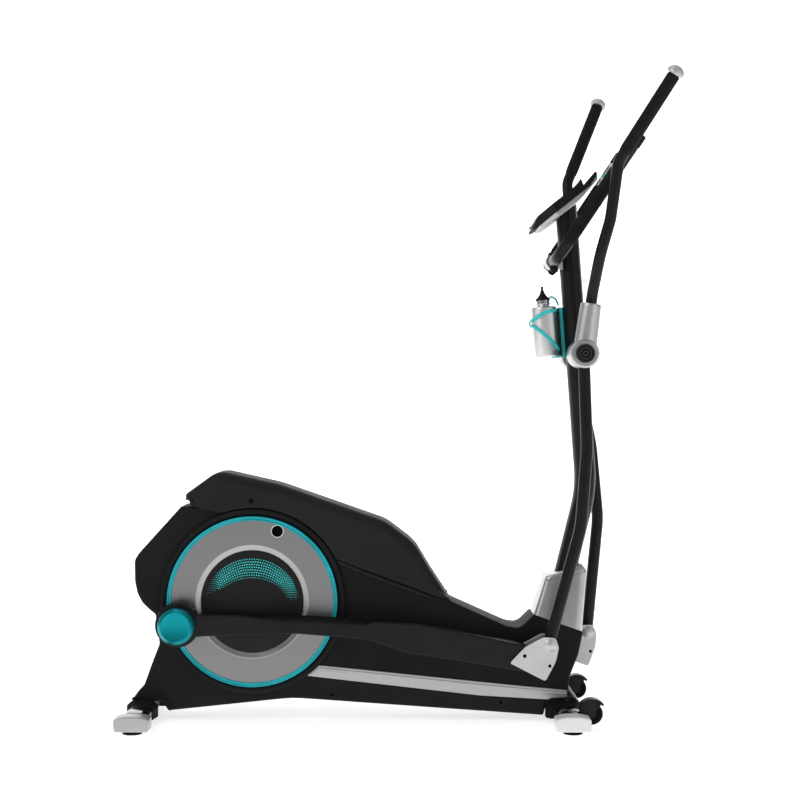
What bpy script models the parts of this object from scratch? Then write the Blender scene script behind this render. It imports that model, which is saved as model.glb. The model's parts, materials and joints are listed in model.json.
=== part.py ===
"""Rear-drive elliptical cross trainer, built piece by piece.

Metres, +Z up, +X towards the console, +Y to the rider's left.  The machine stands on Z = 0.
Each side's arm hangs from the mast's pivot axle, and its pedal bar runs back to the crank.
"""

import math

import bmesh
import bpy
from mathutils import Matrix, Vector

for old in list(bpy.data.objects):
    bpy.data.objects.remove(old, do_unlink=True)

# Clearances
GAP = 0.0003
RUNNING = 0.0004
CUT_PAST = 0.004

# Crank and linkage
CRANK_X = -0.3806
CRANK_Z = 0.3107
CRANK_RADIUS = 0.1926
RIGHT_CRANK_DEG = 196.0
LEFT_CRANK_DEG = 253.0
PIVOT_X = 0.4683
ARM_LENGTH = 0.7438
ARM_LOW_Z = 0.2035
PIVOT_Z = ARM_LOW_Z + ARM_LENGTH
BAR_LENGTH = 0.947

# Casing
HOUSING_HALF = 0.075
HOUSING_WALL = 0.003
SEAM = 0.0003
COVER_STAND = 0.013
COVER_WALL = 0.003
RIM_STAND = 0.016
RIM_WIDTH = 0.016
RIM_BEVEL = 0.004
TRIM_THICK = 0.0035

# Base
CAP_LENGTH_X = 0.088
CAP_HEIGHT = 0.038
CAP_DEPTH = 0.057
CAP_END = 0.004
CAP_ROUND = 0.010
FOOT_RADIUS = 0.0255
FOOT_HEIGHT = 0.008
TUBE_LENGTH_X = 0.050
TUBE_HEIGHT = 0.030
TUBE_WALL = 0.002
BASE_HALF = 0.272
REAR_X = -0.6651
FRONT_X = 0.4297
BEAM_HALF = 0.030
BEAM_LOW = 0.066
BEAM_HEIGHT = 0.040
BEAM_WALL = 0.003
BEAM_SLANT = 0.023
SADDLE_LENGTH = 0.040
PLATE_THICK = 0.005

# Transport wheels
WHEEL_X = 0.4828
WHEEL_Z = 0.0404
WHEEL_INSET = 0.029
WHEEL_Y = BASE_HALF - CAP_DEPTH - WHEEL_INSET
WHEEL_RADIUS = 0.0275
WHEEL_WIDTH = 0.026
WHEEL_PIN_RADIUS = 0.005
FENDER_GAP = 0.005
FENDER_THICK = 0.006
CHEEK_RADIUS = 0.010
CHEEK_INSET = 0.006

# Crankshaft, discs and pulley
AXLE_RADIUS = 0.010
BEARING_RADIUS = 0.025
CRANK_ARM_GAP = 0.0035
CRANK_ARM_THICK = 0.009
CRANK_ARM_HALF = 0.018
CRANK_PIN_RADIUS = 0.012
DISC_RADIUS = 0.2196
DISC_THICK = 0.011
DISC_SKIRT = 0.006
RIM_BAND = 0.012
RIM_PROUD = 0.0025
DOME_RADIUS = 0.131
DOME_HEIGHT = 0.0125
DISC_HOLE_RADIUS = 0.0147
DISC_HOLE_DEG = 125.7
DISC_RUNNING_GAP = 0.002
PULLEY_RADIUS = 0.145
PULLEY_OFFSET = 0.041
PULLEY_WIDTH = 0.015
PULLEY_WEB = 0.005
PULLEY_RIM = 0.012
BELT_THICK = 0.003
BELT_SLACK = 0.0004

# Flywheel and brake
FLYWHEEL_X = -0.045
FLYWHEEL_Z = 0.260
FLYWHEEL_RADIUS = 0.115
FLYWHEEL_WIDTH = 0.040
FLYWHEEL_RIM = 0.030
FLYWHEEL_WEB = 0.014
FLYWHEEL_AXLE_RADIUS = 0.008
FLYWHEEL_PULLEY_RADIUS = 0.020
FLYWHEEL_HUB_RADIUS = 0.020
BRAKE_GAP = 0.003
BRAKE_THICK = 0.009
BRAKE_FROM_DEG = 62.0
BRAKE_TO_DEG = 122.0
BRAKE_PIN_RADIUS = 0.004

# Mast
MAST_HALF_X = 0.028
MAST_HALF_Y = 0.036
MAST_WALL = 0.0025
MAST_PASS_GAP = 0.0015
MAST_BEND_X = 0.4895
MAST_BEND_Z = 0.5981
MAST_BEND_RADIUS = 0.35
MAST_LEAN_DEG = 4.1
MAST_FOOT_DEG = 14.05
MAST_FOOT_Z = 0.118
SOCKET_TOP_Z = 0.240
SOCKET_WALL = 0.003
CROSS_TUBE_RADIUS = 0.016
CROSS_TUBE_HALF = 0.062
PIVOT_AXLE_RADIUS = 0.0085

# Arms and handles, in the arm's own frame below
ARM_RADIUS = 0.0155
ARM_WALL = 0.002
ARM_BUSH_RADIUS = 0.014
CLEVIS_BUSH_RADIUS = 0.016
HUB_RADIUS = 0.037
SLEEVE_HALF_X = 0.0300
SLEEVE_HALF_Y = 0.0260
SLEEVE_TOP_HALF_X = 0.0265
SLEEVE_TOP = 0.128
PIVOT_CAP_RADIUS = 0.024
PIVOT_CAP_THICK = 0.013
HANDLE_RADIUS = 0.0145
HANDLE_WALL = 0.0018
GRIP_THICK = 0.0016
GRIP_START = 0.10
GRIP_END = 0.985
HANDLE_CAP_RADIUS = 0.0220
HANDLE_CAP_SIDE = 0.004
HANDLE_CAP_DOME = 0.018
ARM_SOLID_END = 0.025
# Bends of the lower arm as (forward, up, radius), of the handle as (forward, out, up, radius), and its end
ARM_CORNERS = [(0.0375, -0.242, 0.35), (0.0455, -0.440, 0.25)]
HANDLE_CORNERS = [
    (0.0025, 0.000, 0.152, 0.08),
    (0.0050, 0.055, 0.250, 0.10),
    (0.0190, 0.064, 0.340, 0.15),
    (0.0195, 0.0825, 0.482, 0.05),
]
HANDLE_TOP = (0.1227, 0.151, 0.7012)

# Pedal bars
BAR_INNER_GAP = 0.0005
BAR_WIDTH = 0.050
BAR_WALL = 0.002
BAR_ROUND = 0.008
CRANK_HUB_RADIUS = 0.056
CRANK_BUSH_RADIUS = 0.018
CRANK_CAP_RADIUS = 0.046
CRANK_CAP_THICK = 0.036
CRANK_CAP_BEVEL = 0.009
FORK_PLATE = 0.004
FORK_RUNNING = 0.0005
FORK_HALF = 0.018
FORK_PIN_RADIUS = 0.006
CLEVIS_PLATE = 0.0025
CLEVIS_STAND = 0.010
CLEVIS_POST_RADIUS = 0.005
STEP_THICK = 0.006
STEP_WIDTH = 0.085
STEP_FROM = 0.219
STEP_TO = 0.476
STEP_SEAT = 0.0300
VENT_RADIUS = 0.003
HUB_TOP_DEG = 32.0
HUB_UNDER_DEG = 28.0
# The bar's side view as (along, up, radius), the rear part from the crank pin and the front from the clevis
BAR_TOP_REAR = [
    (0.150, 0.0345, 0.10),
    (0.2150, STEP_SEAT, 0.0),
    (0.4800, STEP_SEAT, 0.0),
    (0.5000, 0.0365, 0.02),
]
BAR_TOP_FRONT = [
    (-0.3303, 0.0357, 0.15),
    (-0.1813, 0.0131, 0.30),
    (-0.0703, -0.0032, 0.10),
    (-0.0390, -0.0140, 0.012),
]
BAR_END = -0.0470
BAR_UNDER_FRONT = [
    (BAR_END, -0.0700, 0.012),
    (-0.0703, -0.0706, 0.05),
    (-0.2270, -0.0520, 0.20),
    (-0.3570, -0.0400, 0.10),
]
BAR_UNDER_REAR = [
    (0.4800, -0.0100, 0.10),
    (0.3000, -0.0050, 0.30),
    (0.1500, -0.0160, 0.10),
]
# The clevis cover's side view as (forward, up, radius) from the clevis, and the post behind it
CLEVIS_OUTLINE = [
    (-0.1000, -0.0497, 0.004),
    (-0.0631, -0.0071, 0.020),
    (-0.0185, 0.0201, 0.012),
    (0.0135, 0.0196, 0.012),
    (0.0221, -0.0045, 0.012),
    (0.0166, -0.0402, 0.040),
    (-0.0071, -0.0913, 0.006),
]
CLEVIS_ROOM = [
    (-0.140, -0.110),
    (-0.140, 0.060),
    (0.060, 0.060),
    (0.060, -0.0300),
    (-0.0060, -0.0300),
    (-0.0380, -0.0850),
]
CLEVIS_POST = (-0.0631, -0.0299)

# Console and fixed handlebar
CONSOLE_X = 0.3400
CONSOLE_Z = 1.2775
CONSOLE_LENGTH = 0.2096
CONSOLE_TILT_DEG = 38.2
CONSOLE_HALF = 0.135
CONSOLE_LOW_HALF = 0.0675
CONSOLE_NARROW_TO = 0.070
CONSOLE_POCKET_HALF = 0.085
CONSOLE_THICK = 0.022
CONSOLE_WALL = 0.003
CONSOLE_BACK_THICK = 0.012
LENS_FROM = 0.070
LENS_TO = 0.150
LENS_HALF = 0.095
LENS_THICK = 0.0015
BUTTON_RADIUS = 0.009
BUTTON_FLANGE = 0.0015
BUTTON_PROUD = 0.0020
BUTTON_TRAVEL = 0.0015
BUTTON_U = 0.038
BUTTON_PITCH = 0.050
BAR_TUBE_RADIUS = 0.0150
BAR_TUBE_WALL = 0.0018
BAR_CROSS_X = 0.4015
BAR_CROSS_Z = 1.1920
BAR_CROSS_HALF = 0.160
BAR_TIP_X = 0.6070
BAR_TIP_Z = 1.4997
BAR_TIP_HALF = 0.185
BAR_BEND_RADIUS = 0.055
CLAMP_WALL = 0.005
CLAMP_HALF = 0.026

# Bottle and cage
BOTTLE_RADIUS = 0.0345
BOTTLE_Z = 0.9430
BOTTLE_BODY = 0.118
BOTTLE_SHOULDER = 0.014
BOTTLE_WALL = 0.001
NECK_RADIUS = 0.0165
NECK_HEIGHT = 0.012
BOTTLE_CAP_RADIUS = 0.0200
BOTTLE_CAP_HEIGHT = 0.046
CAGE_WIRE = 0.0035
CAGE_CLEARANCE = 0.0015
CAGE_SPINE_THICK = 0.008
CAGE_SPINE_HALF = 0.009
CAGE_STANDOFF = 0.006
CAGE_TIP_UP = 0.090
CAGE_LEDGE_HALF = 0.014

# Levels across the machine, counted from the middle plane
RIM_FACE = HOUSING_HALF + RIM_STAND
CRANK_ARM_IN = HOUSING_HALF + CRANK_ARM_GAP
CRANK_ARM_OUT = CRANK_ARM_IN + CRANK_ARM_THICK
DISC_BACK = CRANK_ARM_OUT + GAP
DISC_FACE = DISC_BACK + DISC_THICK
DOME_TOP = DISC_FACE + DOME_HEIGHT
PIN_FACE = DOME_TOP + BAR_INNER_GAP
BAR_IN = PIN_FACE + GAP
BAR_OUT = BAR_IN + BAR_WIDTH
ARM_Y = (BAR_IN + BAR_OUT) / 2
HUB_IN = CROSS_TUBE_HALF + GAP
HUB_OUT = ARM_Y + HUB_RADIUS
PLATE_IN = BEAM_HALF
PLATE_OUT = BEAM_HALF + PLATE_THICK
SLEEVE_Y = ARM_Y + 0.010

MATERIALS = {
    "frame_black": ((0.020, 0.020, 0.022), 0.45, 0.3),
    "casing_black": ((0.016, 0.016, 0.018), 0.42, 0.0),
    "grip_rubber": ((0.020, 0.020, 0.020), 0.75, 0.0),
    "silver_plastic": ((0.55, 0.55, 0.56), 0.32, 0.4),
    "pale_silver": ((0.78, 0.77, 0.76), 0.40, 0.1),
    "teal_plastic": ((0.010, 0.300, 0.330), 0.25, 0.1),
    "chrome": ((0.80, 0.80, 0.82), 0.12, 1.0),
    "bottle_steel": ((0.66, 0.66, 0.67), 0.25, 1.0),
    "cast_iron": ((0.10, 0.10, 0.11), 0.60, 0.8),
    "rubber": ((0.015, 0.015, 0.015), 0.85, 0.0),
    "lens_dark": ((0.010, 0.012, 0.014), 0.08, 0.0),
}


def material(name):
    """Returns the named finish, made on first use."""
    found = bpy.data.materials.get(name)
    if found:
        return found
    color, roughness, metallic = MATERIALS[name]
    made = bpy.data.materials.new(name)
    made.use_nodes = True
    shader = made.node_tree.nodes["Principled BSDF"]
    shader.inputs["Base Color"].default_value = (*color, 1.0)
    shader.inputs["Roughness"].default_value = roughness
    shader.inputs["Metallic"].default_value = metallic
    return made


def solid(name, points, faces, finish):
    """Makes an object from points and faces, with its faces pointing outwards."""
    mesh = bpy.data.meshes.new(name)
    mesh.from_pydata([tuple(p) for p in points], [], faces)
    work = bmesh.new()
    work.from_mesh(mesh)
    bmesh.ops.recalc_face_normals(work, faces=work.faces)
    work.to_mesh(mesh)
    work.free()
    mesh.materials.append(material(finish))
    made = bpy.data.objects.new(name, mesh)
    bpy.context.scene.collection.objects.link(made)
    return made


def rounded(corners, step_deg=18.0):
    """Turns corners (x, z, radius) into an outline whose corners are arcs."""
    outline = []
    count = len(corners)
    for index, (x, z, radius) in enumerate(corners):
        here = Vector((x, z))
        if radius <= 0:
            outline.append((x, z))
            continue
        before = Vector(corners[index - 1][:2]) - here
        after = Vector(corners[(index + 1) % count][:2]) - here
        outline += [tuple(p) for p in fillet(here, before, after, radius, step_deg)]
    return outline


def fillet(corner, before, after, radius, step_deg):
    """Returns points on the arc that rounds a corner between two directions, in two or three dimensions."""
    u = before.normalized()
    v = after.normalized()
    half = math.acos(max(-1.0, min(1.0, u.dot(v)))) / 2
    reach = min(radius / math.tan(half), 0.48 * before.length, 0.48 * after.length)
    radius = reach * math.tan(half)
    centre = corner + (u + v).normalized() * (radius / math.sin(half))
    start = corner + u * reach - centre
    end = corner + v * reach - centre
    turn = math.pi - 2 * half
    steps = max(1, round(math.degrees(turn) / step_deg))
    points = []
    for step in range(steps + 1):
        t = step / steps
        a = math.sin((1 - t) * turn) / math.sin(turn)
        b = math.sin(t * turn) / math.sin(turn)
        points.append(centre + start * a + end * b)
    return points


def route(corners, step_deg=9.0):
    """Turns corners (x, y, z, radius) into the points of a path with bent corners."""
    path = [Vector(corners[0][:3])]
    for index in range(1, len(corners) - 1):
        here = Vector(corners[index][:3])
        before = Vector(corners[index - 1][:3]) - here
        after = Vector(corners[index + 1][:3]) - here
        path += fillet(here, before, after, corners[index][3], step_deg)
    path.append(Vector(corners[-1][:3]))
    return path


def area(outline):
    """Returns the signed area inside an outline."""
    total = 0.0
    for index, (x, z) in enumerate(outline):
        before = outline[index - 1]
        total += before[0] * z - x * before[1]
    return total / 2


def offset(outline, distance):
    """Moves an outline outwards by a distance, or inwards where that is negative."""
    sign = 1.0 if area(outline) > 0 else -1.0
    moved = []
    count = len(outline)
    for index in range(count):
        here = Vector(outline[index])
        a = (here - Vector(outline[index - 1])).normalized()
        b = (Vector(outline[(index + 1) % count]) - here).normalized()
        normal = Vector((a.y + b.y, -a.x - b.x)).normalized() * sign
        flat = max(0.35, normal.dot(Vector((a.y, -a.x)) * sign))
        moved.append(tuple(here + normal * (distance / flat)))
    return moved


def parallel(corners, distance):
    """Moves corners (x, z, radius) outwards by a distance so that their arcs stay parallel too."""
    flat = [corner[:2] for corner in corners]
    sign = 1.0 if area(flat) > 0 else -1.0
    moved = offset(flat, distance)
    result = []
    for index, (x, z) in enumerate(moved):
        a = Vector(flat[index]) - Vector(flat[index - 1])
        b = Vector(flat[(index + 1) % len(flat)]) - Vector(flat[index])
        bulges = sign * (a.x * b.y - a.y * b.x) > 0
        grown = corners[index][2] + (distance if bulges else -distance)
        result.append((x, z, max(0.0, grown)))
    return result


def circle(x, z, radius, sides=32, start_deg=0.0, end_deg=360.0):
    """Returns points round a circle, or along an arc of it."""
    full = abs(end_deg - start_deg) >= 360.0
    count = sides if full else sides + 1
    step = math.radians(end_deg - start_deg) / sides
    first = math.radians(start_deg)
    turns = [first + step * k for k in range(count)]
    return [(x + radius * math.cos(turn), z + radius * math.sin(turn)) for turn in turns]


def extruded(name, outline, low, high, finish):
    """Pulls an outline in the X and Z plane along Y, from low to high."""
    count = len(outline)
    points = [(x, low, z) for x, z in outline] + [(x, high, z) for x, z in outline]
    faces = [list(range(count)), list(range(2 * count - 1, count - 1, -1))]
    for k in range(count):
        after = (k + 1) % count
        faces.append([k, after, count + after, count + k])
    return solid(name, points, faces, finish)


def block(name, x, y, z, finish):
    """Makes a box between pairs of limits."""
    outline = [(x[0], z[0]), (x[1], z[0]), (x[1], z[1]), (x[0], z[1])]
    return extruded(name, outline, y[0], y[1], finish)


def turned(name, profile, finish, sides=32, place=None):
    """Spins a profile of (radius, distance along Y) round the Y axis, then moves it to its place."""
    points = []
    rings = []
    for radius, along in profile:
        if radius == 0:
            rings.append([len(points)])
            points.append(Vector((0, along, 0)))
            continue
        rings.append(list(range(len(points), len(points) + sides)))
        for k in range(sides):
            turn = 2 * math.pi * (k + 0.5) / sides
            points.append(Vector((radius * math.cos(turn), along, radius * math.sin(turn))))
    faces = []
    open_profile = len(rings[0]) == 1 and len(rings[-1]) == 1
    pairs = len(rings) - 1 if open_profile else len(rings)
    for index in range(pairs):
        a = rings[index]
        b = rings[(index + 1) % len(rings)]
        for k in range(sides):
            quad = [a[k % len(a)], a[(k + 1) % len(a)], b[(k + 1) % len(b)], b[k % len(b)]]
            faces.append(list(dict.fromkeys(quad)))
    if place is not None:
        points = [place @ p for p in points]
    return solid(name, points, faces, finish)


def at(x, z, y=0.0):
    """Returns the place of a turned piece whose axis runs along Y."""
    return Matrix.Translation((x, y, z))


def rod(name, x, z, radius, low, high, finish="frame_black", sides=16):
    """Makes a round bar along Y."""
    return turned(name, [(0, low), (radius, low), (radius, high), (0, high)], finish, sides, at(x, z))


def towards(origin, direction):
    """Returns the place of a turned piece whose axis points along a direction."""
    return Matrix.Translation(origin) @ direction.to_track_quat("Y", "Z").to_matrix().to_4x4()


def carried(path, across=None):
    """Carries a crosswise direction along a path without twist; returns (tangent, across) at its points."""
    frames = []
    for k in range(len(path)):
        tangent = (path[min(k + 1, len(path) - 1)] - path[max(k - 1, 0)]).normalized()
        if across is None:
            across = Vector((0, 1, 0)) if abs(tangent.y) < 0.7 else Vector((1, 0, 0))
        across = (across - tangent * across.dot(tangent)).normalized()
        frames.append((tangent, across))
    return frames


def swept(name, path, half_x, half_y, wall, finish, sides=16, end_half_x=None, start_across=None):
    """Carries an oval along a path: a rod, or with a wall a tube that is open at both ends."""
    count = len(path)
    rings = [[], []]
    points = []
    for k, (tangent, across) in enumerate(carried(path, start_across)):
        along = across.cross(tangent)
        half = half_x if end_half_x is None else half_x + (end_half_x - half_x) * k / (count - 1)
        for layer in range(2 if wall else 1):
            ring = []
            for side in range(sides):
                turn = 2 * math.pi * (side + 0.5) / sides
                spread = (half - wall * layer) * math.cos(turn)
                lift = (half_y - wall * layer) * math.sin(turn)
                ring.append(len(points))
                points.append(path[k] + along * spread + across * lift)
            rings[layer].append(ring)
    loops = rings[0] + rings[1][::-1] if wall else rings[0]
    faces = []
    links = len(loops) if wall else len(loops) - 1
    for k in range(links):
        a = loops[k]
        b = loops[(k + 1) % len(loops)]
        faces += [[a[s], a[(s + 1) % sides], b[(s + 1) % sides], b[s]] for s in range(sides)]
    if not wall:
        faces += [loops[0][::-1], loops[-1]]
    return solid(name, points, faces, finish)


def triangulated(piece):
    """Splits a piece's faces into flat triangles, which keeps a chain of Booleans sound."""
    work = bmesh.new()
    work.from_mesh(piece.data)
    bmesh.ops.triangulate(work, faces=work.faces)
    work.to_mesh(piece.data)
    work.free()


def combine(body, tool, operation):
    """Joins a tool to a body or cuts it out of the body, and removes the tool."""
    triangulated(body)
    triangulated(tool)
    step = body.modifiers.new(operation, "BOOLEAN")
    step.operation = operation
    step.solver = "EXACT"
    step.object = tool
    bpy.context.view_layer.update()
    result = body.evaluated_get(bpy.context.evaluated_depsgraph_get())
    mesh = bpy.data.meshes.new_from_object(result)
    body.modifiers.clear()
    body.data = mesh
    bpy.data.objects.remove(tool, do_unlink=True)
    return body


def join(body, *tools):
    """Unites tools with a body."""
    for tool in tools:
        combine(body, tool, "UNION")
    return body


def cut(body, *tools):
    """Cuts tools out of a body."""
    for tool in tools:
        combine(body, tool, "DIFFERENCE")
    return body


def empty(name, x, y, z, tilt_deg=0.0):
    """Makes a joint's frame; a positive tilt brings its lower side forward."""
    made = bpy.data.objects.new(name, None)
    made.location = (x, y, z)
    made.rotation_euler = (0.0, -math.radians(tilt_deg), 0.0)
    bpy.context.scene.collection.objects.link(made)
    return made


def hang(piece, joint, local=False):
    """Parents a piece to a joint's frame; unless it is local, its mesh is in the machine's frame."""
    if not local:
        piece.data.transform(Matrix.Translation(-joint.location))
    piece.parent = joint
    return piece


def smooth(piece, sharp_deg=32.0):
    """Shades a round piece smooth and keeps its edges sharp."""
    piece.data.shade_smooth()
    piece.data.set_sharp_from_angle(angle=math.radians(sharp_deg))
    return piece


def crank_pin(crank_deg):
    """Returns the crank pin's place for a crank angle."""
    turn = math.radians(crank_deg)
    return CRANK_X + CRANK_RADIUS * math.cos(turn), CRANK_Z + CRANK_RADIUS * math.sin(turn)


def closed_linkage(crank_deg):
    """Finds the clevis where the bar's and the arm's circles cross, and both pieces' tilts in degrees."""
    pin_x, pin_z = crank_pin(crank_deg)
    dx = pin_x - PIVOT_X
    dz = pin_z - PIVOT_Z
    far = math.hypot(dx, dz)
    along = (ARM_LENGTH**2 - BAR_LENGTH**2 + far**2) / (2 * far)
    aside = math.sqrt(ARM_LENGTH**2 - along**2)
    clevis_x = PIVOT_X + (along * dx - aside * dz) / far
    clevis_z = PIVOT_Z + (along * dz + aside * dx) / far
    arm_deg = math.degrees(math.atan2(clevis_x - PIVOT_X, PIVOT_Z - clevis_z))
    bar_deg = math.degrees(math.atan2(clevis_z - pin_z, clevis_x - pin_x))
    return clevis_x, clevis_z, arm_deg, bar_deg


def mast_x(z):
    """Returns the X of the mast's straight axis at a height."""
    lean_deg = -MAST_LEAN_DEG if z > MAST_BEND_Z else MAST_FOOT_DEG
    return MAST_BEND_X + (z - MAST_BEND_Z) * math.tan(math.radians(lean_deg))


def mast_path(low, high):
    """Returns the mast's axis between two heights, with its bend."""
    bend = (MAST_BEND_X, 0, MAST_BEND_Z, MAST_BEND_RADIUS)
    if high < MAST_BEND_Z:
        return [Vector((mast_x(low), 0, low)), Vector((mast_x(high), 0, high))]
    return route([(mast_x(low), 0, low), bend, (mast_x(high), 0, high)], 3.0)


def on_console(u, w):
    """Returns X and Z of a point u up the console's slope and w above the middle of its slab."""
    tilt = math.radians(CONSOLE_TILT_DEG)
    return (
        CONSOLE_X + u * math.cos(tilt) - w * math.sin(tilt),
        CONSOLE_Z + u * math.sin(tilt) + w * math.cos(tilt),
    )


def console_outline(points):
    """Places an outline of (u, w, radius) on the console and rounds it."""
    return rounded([(*on_console(u, w), radius) for u, w, radius in points])


# Outlines of the casing.  Its back follows the crank, and its front follows the mast's foot.
COVER_TOP = [
    (CRANK_X - 0.1760, CRANK_Z + 0.2605, 0.004),
    (CRANK_X - 0.1750, CRANK_Z + 0.2755, 0.008),
    (CRANK_X - 0.0900, CRANK_Z + 0.3370, 0.060),
    (CRANK_X + 0.0691, CRANK_Z + 0.3010, 0.300),
    (CRANK_X + 0.3440, CRANK_Z + 0.2050, 0.120),
    (CRANK_X + 0.4190, CRANK_Z + 0.1482, 0.120),
    (CRANK_X + 0.4610, CRANK_Z + 0.0780, 0.100),
]
COVER_TIP = (CRANK_X + 0.5070, CRANK_Z + 0.0075, 0.0)
COVER_UNDER = [
    (CRANK_X + 0.4825, CRANK_Z + 0.0089, 0.010),
    (CRANK_X + 0.4296, CRANK_Z + 0.0288, 0.030),
    (CRANK_X + 0.2981, CRANK_Z + 0.0770, 0.060),
    (CRANK_X + 0.1850, CRANK_Z + 0.1197, 0.030),
    (CRANK_X + 0.1300, CRANK_Z + 0.1650, 0.030),
    (CRANK_X - 0.0300, CRANK_Z + 0.2150, 0.030),
    (CRANK_X - 0.1548, CRANK_Z + 0.2445, 0.003),
]
COVER_REAR_SHELF = [
    (CRANK_X - 0.1500, CRANK_Z + 0.2420, 0.002),
    (CRANK_X - 0.1480, CRANK_Z + 0.2885, 0.002),
]
BASE_LINE_REAR = (MAST_BEND_X - 0.1452, MAST_BEND_Z - 0.3252)
BASE_LINE_FRONT = (MAST_BEND_X - 0.0155, MAST_BEND_Z - 0.3697)
BASE_HALF_LOW = HOUSING_HALF - 0.001
BASE_HALF_HIGH = MAST_HALF_Y + 0.010
BASE_WALL = 0.003
BASE_REAR_DROP = 0.2279
BASE_FRONT_DROP = 0.1964
OPEN_SOLE = 0.030


def cover_outline():
    """Returns the side view of the top cover."""
    return rounded(COVER_TOP + [COVER_TIP] + COVER_UNDER)


def housing_outline(distance=0.0):
    """Returns the side view of the housing shells, which run on inside the cover, moved out by a distance."""
    under_cover = offset([p[:2] for p in COVER_TOP + [COVER_TIP]], -(COVER_WALL + GAP))
    under_cover = [(x, z, COVER_TOP[k][2]) for k, (x, z) in enumerate(under_cover[:-1])][2:]
    corners = [
        (CRANK_X - 0.2193, 0.0258, 0.004),
        (REAR_X + TUBE_LENGTH_X / 2 + 0.024, CAP_HEIGHT + FOOT_HEIGHT + 0.0045, 0.016),
        (REAR_X - 0.031, CAP_HEIGHT + FOOT_HEIGHT + 0.0045, 0.003),
        (REAR_X - 0.0109, 0.0780, 0.010),
        (CRANK_X - 0.2828, 0.0887, 0.010),
        (CRANK_X - 0.2590, 0.1548, 0.100),
        (CRANK_X - 0.2419, 0.1990, 0.020),
        (CRANK_X - 0.2527, CRANK_Z - 0.0355, 0.006),
        (CRANK_X - 0.2694, CRANK_Z - 0.0222, 0.030),
        (CRANK_X - 0.2862, CRANK_Z - 0.0058, 0.030),
        (CRANK_X - 0.2992, CRANK_Z + 0.0185, 0.030),
        (CRANK_X - 0.3056, CRANK_Z + 0.0495, 0.050),
        (CRANK_X - 0.3066, CRANK_Z + 0.1050, 0.030),
        (CRANK_X - 0.2946, CRANK_Z + 0.1234, 0.020),
        (CRANK_X - 0.1861, CRANK_Z + 0.2433, 0.003),
    ]
    corners += COVER_REAR_SHELF + under_cover
    corners += [
        (CRANK_X + 0.5110, CRANK_Z - 0.0010, 0.006),
        (MAST_BEND_X - 0.2122, MAST_BEND_Z - 0.3543, 0.060),
        (MAST_BEND_X - 0.1790, MAST_BEND_Z - 0.3590, 0.030),
        (*BASE_LINE_REAR, 0.003),
        (*BASE_LINE_FRONT, 0.004),
        (MAST_BEND_X - 0.0277, MAST_BEND_Z - 0.4269, 0.080),
        (MAST_BEND_X - 0.0504, MAST_BEND_Z - 0.4849, 0.020),
        (FRONT_X + 0.0035, 0.0530, 0.004),
        (FRONT_X - TUBE_LENGTH_X / 2 - 0.024, 0.0530, 0.010),
        (FRONT_X - TUBE_LENGTH_X / 2 - 0.034, 0.0140, 0.004),
        (CRANK_X + 0.5363, 0.0287, 0.200),
        (CRANK_X + 0.1023, 0.0590, 0.300),
    ]
    return rounded(parallel(corners, distance))


def make_base():
    """Makes the stabilisers, their end caps and the rubber feet."""
    cap_low = FOOT_HEIGHT
    tube_low = cap_low + (CAP_HEIGHT - TUBE_HEIGHT) / 2
    tube_end = BASE_HALF - CAP_END - GAP
    for name, x in (("rear", REAR_X), ("front", FRONT_X)):
        section = box_section(x, tube_low, TUBE_LENGTH_X, TUBE_HEIGHT, 0.006)
        tube = extruded(name + "_stabiliser", section, -tube_end, tube_end, "frame_black")
        bore = offset(section, -TUBE_WALL)
        cut(tube, extruded("bore", bore, -BASE_HALF, BASE_HALF, "frame_black"))
        if name == "front":
            add_wheel_forks(tube, tube_low)
        for side, word in ((-1, "right"), (1, "left")):
            make_end_cap(name + "_end_cap_" + word, x, cap_low, section, side)
            foot = [(0, 0), (FOOT_RADIUS - 0.002, 0), (FOOT_RADIUS, 0.002)]
            foot += [(FOOT_RADIUS, FOOT_HEIGHT - GAP), (0, FOOT_HEIGHT - GAP)]
            place = upright(Matrix.Translation((x, side * (BASE_HALF - CAP_DEPTH / 2), 0)))
            smooth(turned(name + "_foot_" + word, foot, "rubber", 20, place))


def box_section(x, low, length, height, radius):
    """Returns a box's outline with rounded corners, centred on x."""
    half = length / 2
    corners = [(x - half, low), (x + half, low), (x + half, low + height), (x - half, low + height)]
    return rounded([(cx, cz, radius) for cx, cz in corners], 30.0)


def make_end_cap(name, x, low, tube_section, side):
    """Makes a cup that slips over a stabiliser's end, with a crowned top edge."""
    outline = box_section(x, low, CAP_LENGTH_X, CAP_HEIGHT, CAP_ROUND)
    outer = side * BASE_HALF
    inner = side * (BASE_HALF - CAP_DEPTH)
    cap = extruded(name, outline, min(outer, inner), max(outer, inner), "pale_silver")
    pocket = offset(tube_section, GAP)
    reach = side * (BASE_HALF - CAP_END)
    mouth = side * (BASE_HALF - CAP_DEPTH - CUT_PAST)
    cut(cap, extruded("pocket", pocket, min(reach, mouth), max(reach, mouth), "pale_silver"))
    return cap


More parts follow.
